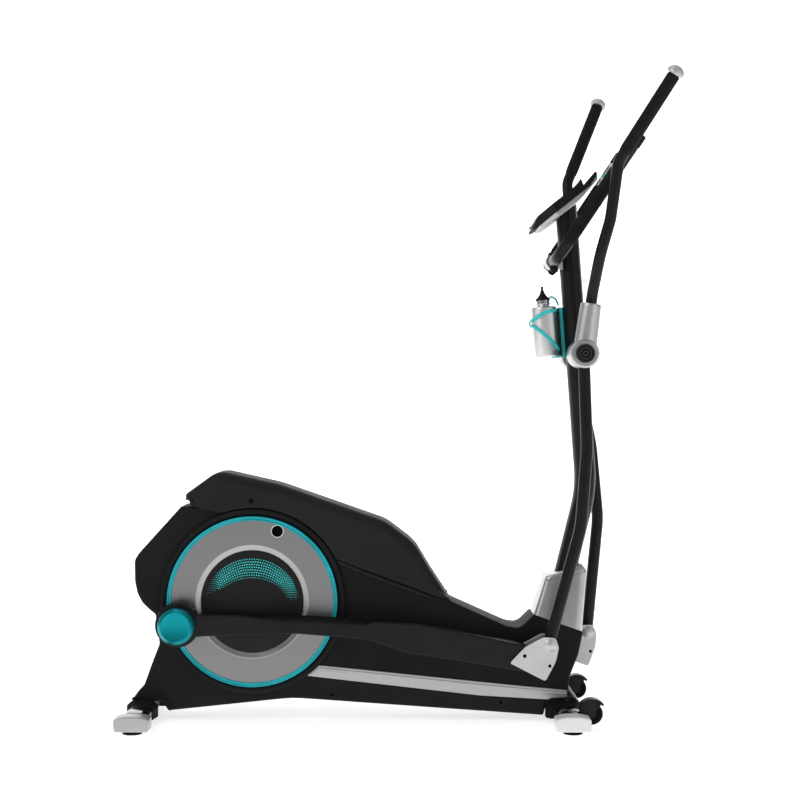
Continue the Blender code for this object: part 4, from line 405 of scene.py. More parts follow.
def slab(corners, low, high, radius, step=7.0, steps=4):
    """A plate with rolled edges on both faces."""
    middle = (low + high) / 2
    rings = roll(radius, middle, low, steps)[::-1] + roll(radius, middle, high, steps)
    return pressed(corners, rings, step=step)


def mirrored(profile, side):
    """A profile (radius, distance) brought to one side of the machine."""
    return [(radius, side * y) for radius, y in profile]


def between(side, near, far):
    """Two distances from the machine's middle, as low and high on one side of it."""
    return sorted((side * near, side * far))


def turned(profile, centre, sides=64, axis=(0, 1, 0), closed=False):
    """A profile (radius, distance) spun about an axis: centre + axis*distance + radius*(cos t, sin t)."""
    profile = np.array(profile, float)
    axis = np.array(axis, float) / np.linalg.norm(axis)
    across = np.cross(axis, (0.0, 1.0, 0.0) if abs(axis[1]) < 0.9 else (1.0, 0.0, 0.0))
    across /= np.linalg.norm(across)
    aside = np.cross(axis, across)
    angle = np.linspace(0, 2 * np.pi, sides, endpoint=False)
    ring = np.cos(angle)[:, None] * across + np.sin(angle)[:, None] * aside
    points = np.array(centre) + profile[:, 1, None, None] * axis + profile[:, 0, None, None] * ring
    return skin(points, close_rows=closed)


def tube(path, half_a, half_b=None, sides=36, across=(0, 1, 0)):
    """An oval carried along a path: at each point, across x tangent gives the first half-width's direction
    and across the second's."""
    path = np.asarray(path, float)
    tangent = np.gradient(path, axis=0)
    tangent /= np.linalg.norm(tangent, axis=1)[:, None]
    across = np.array(across, float) - tangent * (tangent @ np.array(across, float))[:, None]
    across /= np.linalg.norm(across, axis=1)[:, None]
    along = np.cross(across, tangent)
    angle = np.linspace(0, 2 * np.pi, sides, endpoint=False)
    halves = (half_a, half_a if half_b is None else half_b)
    half_a, half_b = (np.broadcast_to(half, len(path))[:, None, None] for half in halves)
    c, s = np.cos(angle)[None, :, None], np.sin(angle)[None, :, None]
    return skin(path[:, None] + along[:, None] * c * half_a + across[:, None] * s * half_b, caps=True)


def placed(form, origin, tilt):
    """A form turned about Y and moved: x' = x cos - z sin, z' = x sin + z cos, with a positive tilt bringing
    what hangs below forward."""
    points, faces = form
    c, s = np.cos(tilt), np.sin(tilt)
    x, y, z = points.T
    return np.column_stack((origin[0] + x * c - z * s, origin[1] + y, origin[2] + x * s + z * c)), faces


def piece(name, form, body, finish, replaces=(), sharp=38.0):
    """Makes a form an object that rides on a body, with doubled points merged and faces turned outwards."""
    points, faces = form
    mesh = bpy.data.meshes.new(name)
    mesh.from_pydata(points.tolist(), [], faces)
    work = bmesh.new()
    work.from_mesh(mesh)
    bmesh.ops.remove_doubles(work, verts=work.verts, dist=2e-6)
    bmesh.ops.recalc_face_normals(work, faces=work.faces)
    work.to_mesh(mesh)
    work.free()
    mesh.shade_smooth()
    mesh.set_sharp_from_angle(angle=np.radians(sharp))
    mesh.materials.append(finish.material)
    made = bpy.data.objects.new(name, mesh)
    bpy.context.scene.collection.objects.link(made)
    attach(made, body)
    if replaces:
        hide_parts(*([replaces] if isinstance(replaces, str) else replaces))
    return made


def screw(centre, axis, radius=0.0045, proud=0.0018):
    """A pan-head screw: a low dome with a round socket in it."""
    profile = [
        (0.0, -0.001), (radius, -0.001), (radius, 0.0), (radius * 0.94, proud * 0.55), (radius * 0.70, proud),
        (radius * 0.46, proud), (radius * 0.42, proud * 0.25), (0.0, proud * 0.25)
    ]
    return turned(profile, centre, 20, axis)


# Casing

COVER_TOP = [
    (-0.1760, 0.2605, 0.004), (-0.1750, 0.2755, 0.008), (-0.0900, 0.3370, 0.060), (0.0691, 0.3010, 0.300),
    (0.3440, 0.2050, 0.120), (0.4190, 0.1482, 0.120), (0.4610, 0.0780, 0.100), (0.5070, 0.0075, 0.0)
]
COVER_UNDER = [
    (-0.1548, 0.2445, 0.0), (-0.0300, 0.2150, 0.03), (0.1300, 0.1650, 0.03), (0.1850, 0.1197, 0.03),
    (0.2981, 0.0770, 0.06), (0.4296, 0.0288, 0.03), (0.4825, 0.0089, 0.01), (0.5070, 0.0075, 0.0)
]


def from_crank(corners):
    return [(CRANK_X + x, CRANK_Z + z, radius) for x, z, radius in corners]


def evenly(path, count):
    """A path's points at equal steps along its length."""
    length = np.concatenate(([0], np.cumsum(np.linalg.norm(np.diff(path, axis=0), axis=1))))
    wanted = np.linspace(0, length[-1], count)
    return np.column_stack([np.interp(wanted, length, column) for column in path.T])


def housing_corners():
    """The housing's side view, which runs on inside the top cover."""
    top = from_crank(COVER_TOP)
    lowered = inset([(x, z, 0.0) for x, z, _ in top], 0.0033)
    lowered = [(x, z, top[k][2]) for k, (x, z, _) in enumerate(lowered[:-1])][2:]
    corners = [
        (CRANK_X - 0.2193, 0.0258, 0.004),
        (REAR_X + 0.049, 0.0505, 0.016),
        (REAR_X - 0.031, 0.0505, 0.003),
        (REAR_X - 0.0109, 0.0780, 0.010),
        (CRANK_X - 0.2828, 0.0887, 0.010),
        (CRANK_X - 0.2590, 0.1548, 0.100),
        (CRANK_X - 0.2419, 0.1990, 0.020),
    ]
    corners += from_crank([(-0.2527, -0.0355, 0.006), (-0.2694, -0.0222, 0.030), (-0.2862, -0.0058, 0.030)])
    corners += from_crank([(-0.2992, 0.0185, 0.030), (-0.3056, 0.0495, 0.050), (-0.3066, 0.1050, 0.030)])
    corners += from_crank([
        (-0.2946, 0.1234, 0.020), (-0.1861, 0.2433, 0.003), (-0.1500, 0.2420, 0.002), (-0.1480, 0.2885, 0.002)
    ])
    corners += lowered
    corners += [
        (CRANK_X + 0.5110, CRANK_Z - 0.0010, 0.006),
        (MAST_X - 0.2122, MAST_Z - 0.3543, 0.060),
        (MAST_X - 0.1790, MAST_Z - 0.3590, 0.030),
        (MAST_X - 0.1452, MAST_Z - 0.3252, 0.010),
        (MAST_X - 0.0155, MAST_Z - 0.3697, 0.004),
        (MAST_X - 0.0277, MAST_Z - 0.4269, 0.080),
        (MAST_X - 0.0504, MAST_Z - 0.4849, 0.020),
        (FRONT_X + 0.0035, 0.0530, 0.004),
        (FRONT_X - 0.049, 0.0530, 0.010),
        (FRONT_X - 0.059, 0.0140, 0.004),
        (CRANK_X + 0.5363, 0.0287, 0.200),
        (CRANK_X + 0.1023, 0.0590, 0.300),
    ]
    return corners


def casing():
    """Housing halves with rolled edges and a rim ring, silver strips, the cover, its ledges and screws."""
    corners = housing_corners()
    for word, side in SIDES:
        rings = [(0.003, side * 0.072), (0.003, side * 0.0004), (0.0012, side * 0.0004), (0.0, side * 0.0016)]
        rings += roll(0.006, 0, side * HOUSING_HALF, 6)
        shell = pressed(corners, rings, holes=[(CRANK_X, CRANK_Z, 0.030)], step=5)
        profile = [
            (RING_INNER, 0.0735), (RING_OUTER + 0.004, 0.0735), (RING_OUTER + 0.0005, 0.0775),
            (RING_OUTER, 0.0800), (RING_OUTER, 0.0870), (RING_OUTER - 0.0006, 0.0892),
            (RING_OUTER - 0.0022, 0.0904), (RING_OUTER - 0.0040, RING_FACE), (RING_INNER + 0.0040, RING_FACE),
            (RING_INNER + 0.0016, 0.0898), (RING_INNER, 0.0860)
        ]
        ring = turned(mirrored(profile, side), (CRANK_X, 0, CRANK_Z), 144, closed=True)
        piece("housing_shell_" + word, shell, "frame", MOULDED, "housing_" + word)
        piece("rim_ring_" + word, ring, "frame", MOULDED)
        silver_strip(word, side)
    cover_skin()
    ledge = from_crank([
        (0.2120, 0.1085, 0.001), (0.2981, 0.0735, 0.060), (0.4296, 0.0252, 0.030), (0.4700, 0.0090, 0.001)
    ])
    ledge += from_crank([
        (0.4640, 0.0035, 0.001), (0.4262, 0.0165, 0.030), (0.2946, 0.0648, 0.060), (0.2210, 0.0945, 0.001)
    ])
    ledges = [slab(ledge, *between(side, 0.0740, 0.0815), 0.0014, steps=3) for _, side in SIDES]
    piece("casing_ledges", together(*ledges), "frame", COVER)
    screws = [
        screw((CRANK_X - 0.0036, side * COVER_HALF, CRANK_Z + 0.2586), (0, side, 0), 0.0062, 0.0008)
        for _, side in SIDES
    ]
    spots = [(SHIFT - 0.1751, 0.0672), (SHIFT + 0.2605, 0.0475)]
    screws += [
        screw((x, side * HOUSING_HALF, z), (0, side, 0), 0.0042, 0.0009) for x, z in spots
        for _, side in SIDES
    ]
    piece("casing_screws", together(*screws), "frame", DARK_HOLE)


def silver_strip(word, side):
    """The silver strip: a plate whose upper lip stands 0.7 mm prouder, cut short where the rim ring is."""
    start = SHIFT - 0.2277
    low_line = np.array([
        [start - 0.030, 0.1188], [SHIFT + 0.2070, 0.0660], [FRONT_X - 0.0484, 0.0557],
        [FRONT_X + 0.0020, 0.0563]
    ])
    x = np.linspace(SHIFT - 0.262, FRONT_X + 0.0018, 120)
    low = np.interp(x, low_line[:, 0], low_line[:, 1])
    high = np.interp(x, [start, FRONT_X + 0.0025], [0.1467, 0.0795])
    radius = RING_OUTER + 0.0012
    drop = radius**2 - (x - CRANK_X) ** 2
    under_ring = CRANK_Z - np.sqrt(np.maximum(drop, 0))
    high = np.minimum(high, np.where(drop > 0, under_ring, 1.0))
    keep = high - low > 0.0012
    x, low, high = x[keep], low[keep], high[keep]
    base, face, lip = HOUSING_HALF + GAP, HOUSING_HALF + 0.0030, HOUSING_HALF + 0.0037
    height = (high - low)[:, None]
    share = np.array([0.0, 0.0, 0.03, 0.46, 0.52, 0.77, 0.79, 0.86, 0.88, 0.95, 1.0, 1.0])
    depth = np.array([
        base, face - 0.0008, face - 0.0006, face - 0.0002, lip, lip, base + 0.0006, base + 0.0006, lip, lip,
        lip - 0.0012, base
    ])
    size = (len(x), len(depth))
    across, out = np.broadcast_to(x[:, None], size), np.broadcast_to(side * depth, size)
    points = np.stack((across, out, low[:, None] + height * share), -1)
    piece(
        "silver_strip_" + word, skin(points, caps=True), "frame", TRIM, "side_trim_" + word,
        sharp=25
    )


def cover_skin():
    """The top cover: each row runs from the lower edge of one flank over the top to the other's.  The flank
    meets the top in a wide slope, and a Solidify gives the sheet its wall."""
    count = 180
    top = evenly(rounded(from_crank(COVER_TOP), closed=False, step=3), count)
    under = evenly(rounded(from_crank(COVER_UNDER), closed=False, step=4), count)
    away = under - (CRANK_X, CRANK_Z)
    distance = np.linalg.norm(away, axis=1)[:, None]
    under = (CRANK_X, CRANK_Z) + away * np.maximum(1.0, (RING_OUTER + 0.0026) / distance)
    tangent = np.gradient(top, axis=0)
    tangent /= np.linalg.norm(tangent, axis=1)[:, None]
    inward = np.stack((tangent[:, 1], -tangent[:, 0]), 1)
    room = np.linalg.norm(top - under, axis=1)
    lower = [(0.0, 0.0760), (0.0, 0.0864), (0.0004, 0.0871), (0.0020, COVER_HALF), (0.0060, COVER_HALF)]
    upper = [
        (0.0250, COVER_HALF), (0.0215, 0.0879), (0.0195, 0.0872), (0.0150, 0.0845), (0.0085, 0.0795),
        (0.0045, 0.0755), (0.0018, 0.0700), (0.0005, 0.0630), (0.0, 0.0450)
    ]
    rows = []
    for depth, y in lower:
        rise = np.minimum(depth, 0.2 * room)[:, None]
        rows.append((under + (top - under) / np.maximum(room, 1e-6)[:, None] * rise, y))
    for depth, y in upper:
        rows.append((top + inward * np.minimum(depth, 0.45 * room)[:, None], y))
    full = [(line, -y) for line, y in rows] + [(line, y) for line, y in rows[::-1]]
    points = np.stack([np.column_stack((line[:, 0], np.full(count, y), line[:, 1])) for line, y in full], 1)
    made = piece(
        "cover_skin", skin(points, close_columns=False), "frame", COVER, "top_cover", sharp=30
    )
    wall = made.modifiers.new("wall", "SOLIDIFY")
    wall.thickness = 0.0024
    wall.offset = -1.0


def shroud():
    """The silver halves round the mast's foot: a level section is half of |2s-1|^7 + (y/half)^7 = 1 for s
    from the rear line to the front line, its half width shrinks as it rises, and a groove sets off the lip
    at the top."""
    rear = np.array([(-0.1437, -0.3246), (-0.1110, -0.2279)]) + (MAST_X, MAST_Z)
    front = np.array([(-0.0160, -0.3691), (-0.0014, -0.2128), (-0.0140, -0.1964)]) + (MAST_X, MAST_Z)
    s = (1 - np.cos(np.linspace(0, np.pi, 81))) / 2
    full = (1 - np.abs(2 * s - 1) ** 7) ** (1 / 7)
    t = np.array([0.0, 0.0, 0.006, 0.25, 0.50, 0.75, 0.865, 0.875, 0.895, 0.905, 0.94, 0.97, 0.99, 1.0, 1.0])
    wide = np.array([0.0, 0.985, 1.0, 1.0, 1.0, 1.0, 1.0, 0.945, 0.945, 1.025, 1.02, 1.00, 0.96, 0.90, 0.0])
    back = np.stack([np.interp(t, (0.0, 1.0), rear[:, k]) for k in (0, 1)], -1)
    fore = np.stack([np.interp(t, (0.0, 0.88, 1.0), front[:, k]) for k in (0, 1)], -1)
    place = back[None] + (fore - back)[None] * s[:, None, None]
    rise = np.clip((place[..., 1] - front[0, 1]) / 0.1727, -0.1, 1)
    half = SHROUD_FOOT + (SHROUD_TOP - SHROUD_FOOT) * rise
    depth = np.maximum(half * full[:, None] * wide, 0.0004)
    for word, side in SIDES:
        points = np.stack((place[..., 0], side * depth, place[..., 1]), -1)
        piece(
            "shroud_" + word, skin(points, caps=True), "frame", SILVER,
            "base_cover_" + word, sharp=26
        )


# Crank


def discs():
    """Each disc: a brushed ring plate with a lock hole, its bevel, the teal rim, the dome and its dots."""
    centre = (CRANK_X, 0, CRANK_Z)
    around = np.linspace(0, 2 * np.pi, 180, endpoint=False)
    for word, side in SIDES:
        turn = np.radians(CRANK_DEG[word] - 125.7)
        hole = (CRANK_X + CRANK_RADIUS * np.cos(turn), CRANK_Z + CRANK_RADIUS * np.sin(turn))
        # The bevel is its own piece in a lighter silver, a painted highlight on the disc's brushed metal.
        bevel = [
            (DISC_INNER, DISC_FACE - 0.0020), (0.1464, DISC_FACE), (0.1445, DISC_FACE + 0.0001),
            (0.1420, DISC_FACE - 0.0006), (0.1385, DISC_FACE - 0.0022), (0.1350, DISC_FACE - 0.0036),
            (0.1325, DISC_FACE - 0.0040), (0.1304, DISC_FACE - 0.0060)
        ]
        bevel = turned(mirrored(bevel, side), centre, 180, closed=True)
        piece("disc_bevel_" + word, bevel, "crank", BEVEL, sharp=30)
        flank = [
            (DISC_INNER, DISC_FACE), (DISC_INNER, DISC_FACE - 0.0022), (0.1310, DISC_FACE - 0.0070),
            (0.1290, DISC_BACK + 0.001), (0.2110, DISC_BACK + 0.001), (0.2110, DISC_FACE - 0.0015),
            (DISC_OUTER, DISC_FACE)
        ]
        angle = np.linspace(0, 2 * np.pi, 48, endpoint=False)
        loops = [circle(CRANK_X, CRANK_Z, r, side * DISC_FACE, around) for r in (DISC_OUTER, DISC_INNER)]
        loops.append(circle(*hole, LOCK_RADIUS, side * DISC_FACE, angle))
        face = tessellate_polygon([[Vector((x, z, 0)) for x, _, z in loop] for loop in loops])
        face = np.concatenate(loops), [list(triangle) for triangle in face]
        wall = [circle(*hole, LOCK_RADIUS, side * y, angle) for y in (DISC_FACE, DISC_FACE - 0.007)]
        rows = [circle(CRANK_X, CRANK_Z, r, side * y, around) for r, y in flank]
        floor = (np.stack(wall).reshape(-1, 3), lattice(2, 48).tolist() + [list(range(48, 96))])
        plate = together(face, skin(np.stack(rows)), floor)
        piece("disc_plate_" + word, plate, "crank", DISC, "crank_disc_" + word, sharp=24)
        rim = [
            (0.2114, DISC_BACK), (0.2136, 0.0800), (0.2186, 0.0795), (0.2196, 0.0805),
            (0.2196, DISC_FACE + 0.0008), (0.2192, DISC_FACE + 0.0018), (0.2184, DISC_FACE + 0.0024),
            (0.2170, DISC_FACE + 0.0022), (0.2158, DISC_FACE + 0.0008), (0.2140, DISC_FACE + 0.0001),
            (0.2122, DISC_FACE + 0.0008), (0.2112, DISC_FACE + 0.0021), (0.2100, DISC_FACE + 0.0025),
            (0.2088, DISC_FACE + 0.0019), (0.2082, DISC_FACE + 0.0006), (0.2082, DISC_FACE - 0.0020),
            (0.2114, DISC_FACE - 0.0020)
        ]
        rim = turned(mirrored(rim, side), centre, 180, closed=True)
        piece("disc_rim_" + word, rim, "crank", TEAL, sharp=50)
        radius = np.concatenate((np.linspace(DOME_EDGE, 0.1225, 5), np.linspace(0.1150, 0.0, 12)))
        bulge = (0.131**2 + 0.0125**2) / (2 * 0.0125)
        height = DOME_TOP - bulge + np.sqrt(bulge**2 - radius**2) - 0.0004
        dome = [(0.0, DISC_BACK + 0.002), (DOME_EDGE, DISC_BACK + 0.002), (DOME_EDGE, DISC_FACE - 0.0020)]
        dome += list(zip(radius, height))
        piece("disc_dome_" + word, turned(mirrored(dome, side), centre, 120), "crank", COVER)
        piece("dome_dots_" + word, dots(side, bulge), "crank", DOT)
        at = (hole[0], side * DISC_FACE, hole[1])
        # The collar's white is a painted highlight: a full bright ring standing for the glint on the lock
        # hole's rim.
        collar = [
            (0.0146, 0.0004), (0.0151, 0.0011), (0.0160, 0.0012), (0.0166, 0.0006), (0.0168, -0.0012),
            (0.0146, -0.0012)
        ]
        collar = turned(mirrored(collar, side), at, 48, closed=True)
        piece("lock_collar_" + word, collar, "crank", WHITE_PAINTED_LIGHT)
        well = [
            (0.0, -0.0066), (0.0141, -0.0066), (0.0141, -0.0004), (0.0146, -0.0002), (0.0146, -0.0069),
            (0.0, -0.0069)
        ]
        piece("lock_well_" + word, turned(mirrored(well, side), at, 48), "crank", DARK_HOLE)


def dots(side, bulge):
    """Small six-sided dots in eight arcs on the dome's upper part: row k is the half ellipse that reaches
    90 + 3.9 k mm to each side and 63 + 6.7 k mm up.  A dot is smaller in the lowest and topmost rows and at a
    row's ends."""
    spots = []
    for row, share in enumerate((0.62, 0.85, 1.0, 1.0, 1.0, 1.0, 0.95, 0.80)):
        t = np.linspace(0, np.pi, 400)
        path = np.column_stack(((0.0900 + 0.0039 * row) * np.cos(t), (0.0630 + 0.0067 * row) * np.sin(t)))
        path = evenly(path, int(np.linalg.norm(np.diff(path, axis=0), axis=1).sum() / 0.0060))
        size = 0.00205 * share * np.clip(0.30 + path[:, 1] / 0.070, 0.30, 1)
        left = np.clip((path[:, 0] + 0.120) / 0.040, 0.45, 1)
        ends = np.where(path[:, 0] > 0, 0.0040 + 0.0050 * np.abs(np.sin(2.1 * row)), 0.0370 - 0.0030 * row)
        keep = path[:, 1] > ends
        spots.append(np.column_stack((path, size * left))[keep])
    spots = np.concatenate(spots)
    turn = np.linspace(0, 2 * np.pi, 6, endpoint=False)
    x = CRANK_X + spots[:, 0, None] + spots[:, 2, None] * np.cos(turn)
    z = CRANK_Z + spots[:, 1, None] + spots[:, 2, None] * np.sin(turn)
    flat = (x - CRANK_X) ** 2 + (z - CRANK_Z) ** 2
    height = DOME_TOP - bulge + np.sqrt(bulge**2 - flat)
    upper = np.stack((x, side * (height + 0.0001), z), -1)
    lower = np.stack((x, side * (height - 0.0012), z), -1)
    count = len(spots)
    points = np.stack((lower, upper), 1).reshape(-1, 3)
    base = (np.arange(count) * 12)[:, None]
    walls = np.concatenate([lattice(2, 6) + start for start in base[:, 0]]).tolist()
    tops = (base + np.arange(6, 12)).tolist() + (base + np.arange(6)).tolist()
    return points, walls + tops


# Linkage

ARM_PATH = [(0, 0, 0), (0.0375, -0.242, 0.35), (0.0455, -0.440, 0.25), (0, -ARM_LENGTH, 0)]
HANDLE_PATH = [
    (0.0025, 0.000, 0.0146, 0), (0.0025, 0.000, 0.152, 0.08), (0.0050, 0.055, 0.250, 0.10),
    (0.0190, 0.064, 0.340, 0.15), (0.0195, 0.0825, 0.482, 0.05), (0.1227, 0.151, 0.7012, 0)
]
BAR_TOP = [
    (0.150, 0.0345, 0.10), (0.2150, 0.0300, 0.0), (0.4800, 0.0300, 0.0), (0.5000, 0.0365, 0.02),
    (0.6167, 0.0357, 0.15), (0.7657, 0.0131, 0.30), (0.8767, -0.0032, 0.10), (0.9080, -0.0140, 0.012)
]
BAR_UNDER = [
    (0.9000, -0.0700, 0.012), (0.8767, -0.0706, 0.05), (0.7200, -0.0520, 0.20), (0.5900, -0.0400, 0.10),
    (0.4800, -0.0100, 0.10), (0.3000, -0.0050, 0.30), (0.1500, -0.0160, 0.10)
]


def linkage(word, side):
    """One side: the swinging arm with its hub and handle, and the pedal bar with what it carries."""
    clevis = np.array(joints["bar_%s_swing" % word]["pos_m"])
    reach = clevis - PIVOT
    arm_tilt = np.arctan2(reach[0], -reach[2])
    turn = np.radians(CRANK_DEG[word])
    pin = CRANK + CRANK_RADIUS * np.array((np.cos(turn), 0, np.sin(turn)))
    bar_tilt = np.arctan2(clevis[2] - pin[2], clevis[0] - pin[0])
    arm(word, side, arm_tilt)
    hub(word, side, arm_tilt)
    handle(word, side, arm_tilt)
    pedal_bar(word, side, clevis, bar_tilt)


def arm(word, side, tilt):
    """The bent tube with the bushes at its two ends."""
    path = rounded(ARM_PATH, closed=False, step=2.0)
    path = np.column_stack((path[:, 0], np.full(len(path), side * ARM_Y), path[:, 1]))
    path[-1] += (path[-2] - path[-1]) / np.linalg.norm(path[-2] - path[-1]) * 0.004
    upper = [
        (0.0089, HUB_IN), (0.0135, HUB_IN), (0.0140, HUB_IN + 0.0006), (0.0140, HUB_OUT - 0.0006),
        (0.0135, HUB_OUT), (0.0089, HUB_OUT)
    ]
    low, high = ARM_Y - 0.0162, ARM_Y + 0.0162
    lower = [
        (0.0064, low), (0.0150, low), (0.0160, low + 0.001), (0.0160, high - 0.001), (0.0150, high),
        (0.0064, high)
    ]
    form = together(
        tube(path, 0.0155),
        turned(mirrored(upper, side), (0, 0, 0), 40, closed=True),
        turned(mirrored(lower, side), (0, 0, -ARM_LENGTH), 40, closed=True),
    )
    piece(
        "arm_tube_" + word, placed(form, PIVOT, tilt), "arm_" + word, TUBE, "lower_arm_" + word
    )


def hub(word, side, tilt):
    """The silver hub and its seamed sleeve, the collar where the handle enters, and the ringed black cap."""
    outer = [
        (0.0, HUB_IN + 0.001), (0.0345, HUB_IN + 0.001), (0.0370, HUB_IN + 0.0035),
        (0.0370, HUB_OUT - 0.0035), (0.0362, HUB_OUT - 0.0014), (0.0345, HUB_OUT - 0.0002), (0.0310, HUB_OUT),
        (0.0302, HUB_OUT - 0.0012), (0.0288, HUB_OUT - 0.0014), (0.0278, HUB_OUT - 0.0002), (0.0, HUB_OUT)
    ]
    rise = np.linspace(0.010, 0.128, 40)
    share = (rise - 0.0185) / (0.128 - 0.0185)
    edge = np.sqrt(np.clip(1 - np.clip((rise - 0.1235) / 0.0048, 0, 1) ** 2, 0, 1)) * 0.0018 - 0.0018
    path = np.column_stack((0.0025 * np.clip(share, 0, 1), np.full(40, side * SLEEVE_Y), rise))
    sleeve = tube(path, 0.0300 - 0.0035 * np.clip(share, 0, 1) + edge, 0.0258 + edge, 48)
    form = together(turned(mirrored(outer, side), (0, 0, 0), 72), sleeve)
    piece(
        "hub_shell_" + word, placed(form, PIVOT, tilt), "arm_" + word, SILVER,
        "pivot_hub_" + word
    )
    behind = -0.0296 + 0.0036 * np.clip(share, 0, 1)
    seam = np.column_stack((behind, np.full(40, side * (SLEEVE_Y + 0.0052)), rise))[3:]
    piece(
        "hub_seam_" + word, placed(tube(seam, 0.00045, sides=8), PIVOT, tilt), "arm_" + word, DARK_HOLE,
    )
    collar = [
        (0.0147, 0.1270), (0.0205, 0.1270), (0.0210, 0.1276), (0.0205, 0.1284), (0.0170, 0.1290),
        (0.0147, 0.1290)
    ]
    collar = turned(collar, (0.0025, side * SLEEVE_Y, 0), 40, (0, 0, 1), closed=True)
    piece("hub_collar_" + word, placed(collar, PIVOT, tilt), "arm_" + word, MOULDED)
    start = HUB_OUT + GAP
    cap = [
        (0.0, start), (0.0240, start), (0.0240, start + 0.0100), (0.0225, start + 0.0128),
        (0.0205, start + 0.0130), (0.0195, start + 0.0108), (0.0170, start + 0.0108),
        (0.0162, start + 0.0126), (0.0128, start + 0.0126), (0.0120, start + 0.0100),
        (0.0080, start + 0.0100), (0.0072, start + 0.0118), (0.0040, start + 0.0118),
        (0.0032, start + 0.0075), (0.0, start + 0.0075)
    ]
    cap = placed(turned(mirrored(cap, side), (0, 0, 0), 56), PIVOT, tilt)
    piece("hub_cap_" + word, cap, "arm_" + word, MOULDED, "pivot_cap_" + word, sharp=28)
    bands = []
    for inner, edge, up in ((0.0213, 0.0220, 0.0130), (0.0140, 0.0149, 0.0126), (0.0050, 0.0060, 0.0118)):
        low, high = start + up, start + up + 0.0003
        band = [(inner, low), (edge, low), (edge, high), (inner, high)]
        bands.append(turned(mirrored(band, side), (0, 0, 0), 56, closed=True))
    piece("hub_cap_bands_" + word, placed(together(*bands), PIVOT, tilt), "arm_" + word, IRON)


def handle(word, side, tilt):
    """The tall handle: the tube, its rubber sleeve with a rolled hem, and the domed pale cap."""
    path = [(x, side * (SLEEVE_Y + out), z, radius) for x, out, z, radius in HANDLE_PATH]
    path = rounded(path, closed=False, step=2.5)
    body = "arm_" + word
    across = (0.3, side, 0.0)
    shaft = placed(tube(path, HANDLE_RADIUS, across=across), PIVOT, tilt)
    piece("handle_tube_" + word, shaft, body, TUBE, "handle_" + word)
    start, end = path[-2], path[-1]
    share = np.array([0.0675, 0.068, 0.080, 0.100, 0.130, 0.5, 0.972, 0.984, 0.987, 0.988])
    radius = np.array([0.0146, 0.0148, 0.0153, 0.0159, 0.0163, 0.0163, 0.0163, 0.0162, 0.0158, 0.0148])
    line = start + (end - start) * share[:, None]
    grip = tube(line, radius, across=across)
    piece("grip_sleeve_" + word, placed(grip, PIVOT, tilt), body, SLEEVE, "grip_" + word)
    axis = (end - start) / np.linalg.norm(end - start)
    angle = np.radians(np.arange(0, 91, 9))
    cap = [(0.0, GAP), (0.0140, GAP), (0.0205, 0.0005), (0.0216, 0.0012), (0.0220, 0.0024)]
    cap += list(zip(0.0220 * np.cos(angle), 0.0043 + 0.0180 * np.sin(angle)))
    cap = placed(turned(cap, end, 56, axis), PIVOT, tilt)
    piece("handle_dome_" + word, cap, body, PALE, "handle_cap_" + word)


def pedal_bar(word, side, clevis, tilt):
    """The bar with rolled edges, its fork and pin, teal cap, ribbed tread and clevis shell."""
    body = "bar_" + word
    angle = np.radians(np.linspace(32.0, 332.0, 61))
    ring = [(BAR_RING * np.cos(a) - BAR_LENGTH, BAR_RING * np.sin(a), 0.0) for a in angle]
    corners = ring + [(x - BAR_LENGTH, z, radius) for x, z, radius in BAR_UNDER[::-1] + BAR_TOP[::-1]]
    low, high = between(side, BAR_IN, BAR_OUT)
    parts = [slab(corners, low, high, 0.0036, step=4, steps=4)]
    middle = side * ARM_Y
    ear = [
        (-0.060, -0.056, 0.004), (-0.020, -0.0560, 0.02), (0.018, -0.012, 0.018), (0.016, 0.018, 0.016),
        (-0.014, 0.016, 0.01), (-0.060, -0.020, 0.004)
    ]
    for sign in (-1, 1):
        ends = sorted((middle + sign * 0.0168, middle + sign * 0.0208))
        parts.append(slab(ear, ends[0], ends[1], 0.0008, steps=2))
    parts.append(turned([(0, -0.020), (0.0060, -0.020), (0.0060, 0.020), (0, 0.020)], (0, middle, 0), 28))
    piece(
        "bar_body_" + word, placed(together(*parts), clevis, tilt), body, TUBE,
        "pedal_bar_" + word
    )
    start = BAR_OUT + GAP
    cap = [
        (0.0, start), (0.0450, start), (0.0460, start + 0.001), (0.0460, start + 0.0255),
        (0.0456, start + 0.0268), (0.0386, start + 0.0348), (0.0376, start + 0.0358),
        (0.0364, start + 0.0358), (0.0352, start + 0.0346), (0.0340, start + 0.0342), (0.0, start + 0.0352)
    ]
    cap = turned(mirrored(cap, side), (-BAR_LENGTH, 0, 0), 96)
    piece(
        "crank_dome_" + word, placed(cap, clevis, tilt), body, TEAL_DEEP, "crank_cap_" + word,
        sharp=28
    )
    tread(word, side, clevis, tilt, body)
    bolts, domes = [], []
    radius = np.linspace(0.0164, 0.0, 9)
    sphere = (0.0164**2 + 0.0065**2) / (2 * 0.0065)
    height = 0.0070 - sphere + np.sqrt(sphere**2 - radius**2)
    for flank in (-1, 1):
        face = middle + flank * 0.0350
        cap = [(0.0, -0.001), (0.0168, -0.001), (0.0168, 0.0003)] + list(zip(radius, height))
        domes.append(turned(mirrored(cap, flank), (0, face, 0), 48))
        bolts.append(screw((0.0017, face, -0.0518), (0, flank, 0), 0.0042, 0.0007))
        bolts.append(screw((-0.0631, face, -0.0299), (0, flank, 0), 0.0048, 0.0007))
    piece("clevis_domes_" + word, placed(together(*domes), clevis, tilt), body, PALE)
    piece("clevis_bolts_" + word, placed(together(*bolts), clevis, tilt), body, DARK_HOLE)
    softened("clevis_cover_" + word, "clevis_shell_" + word, body, PALE, 0.0011)


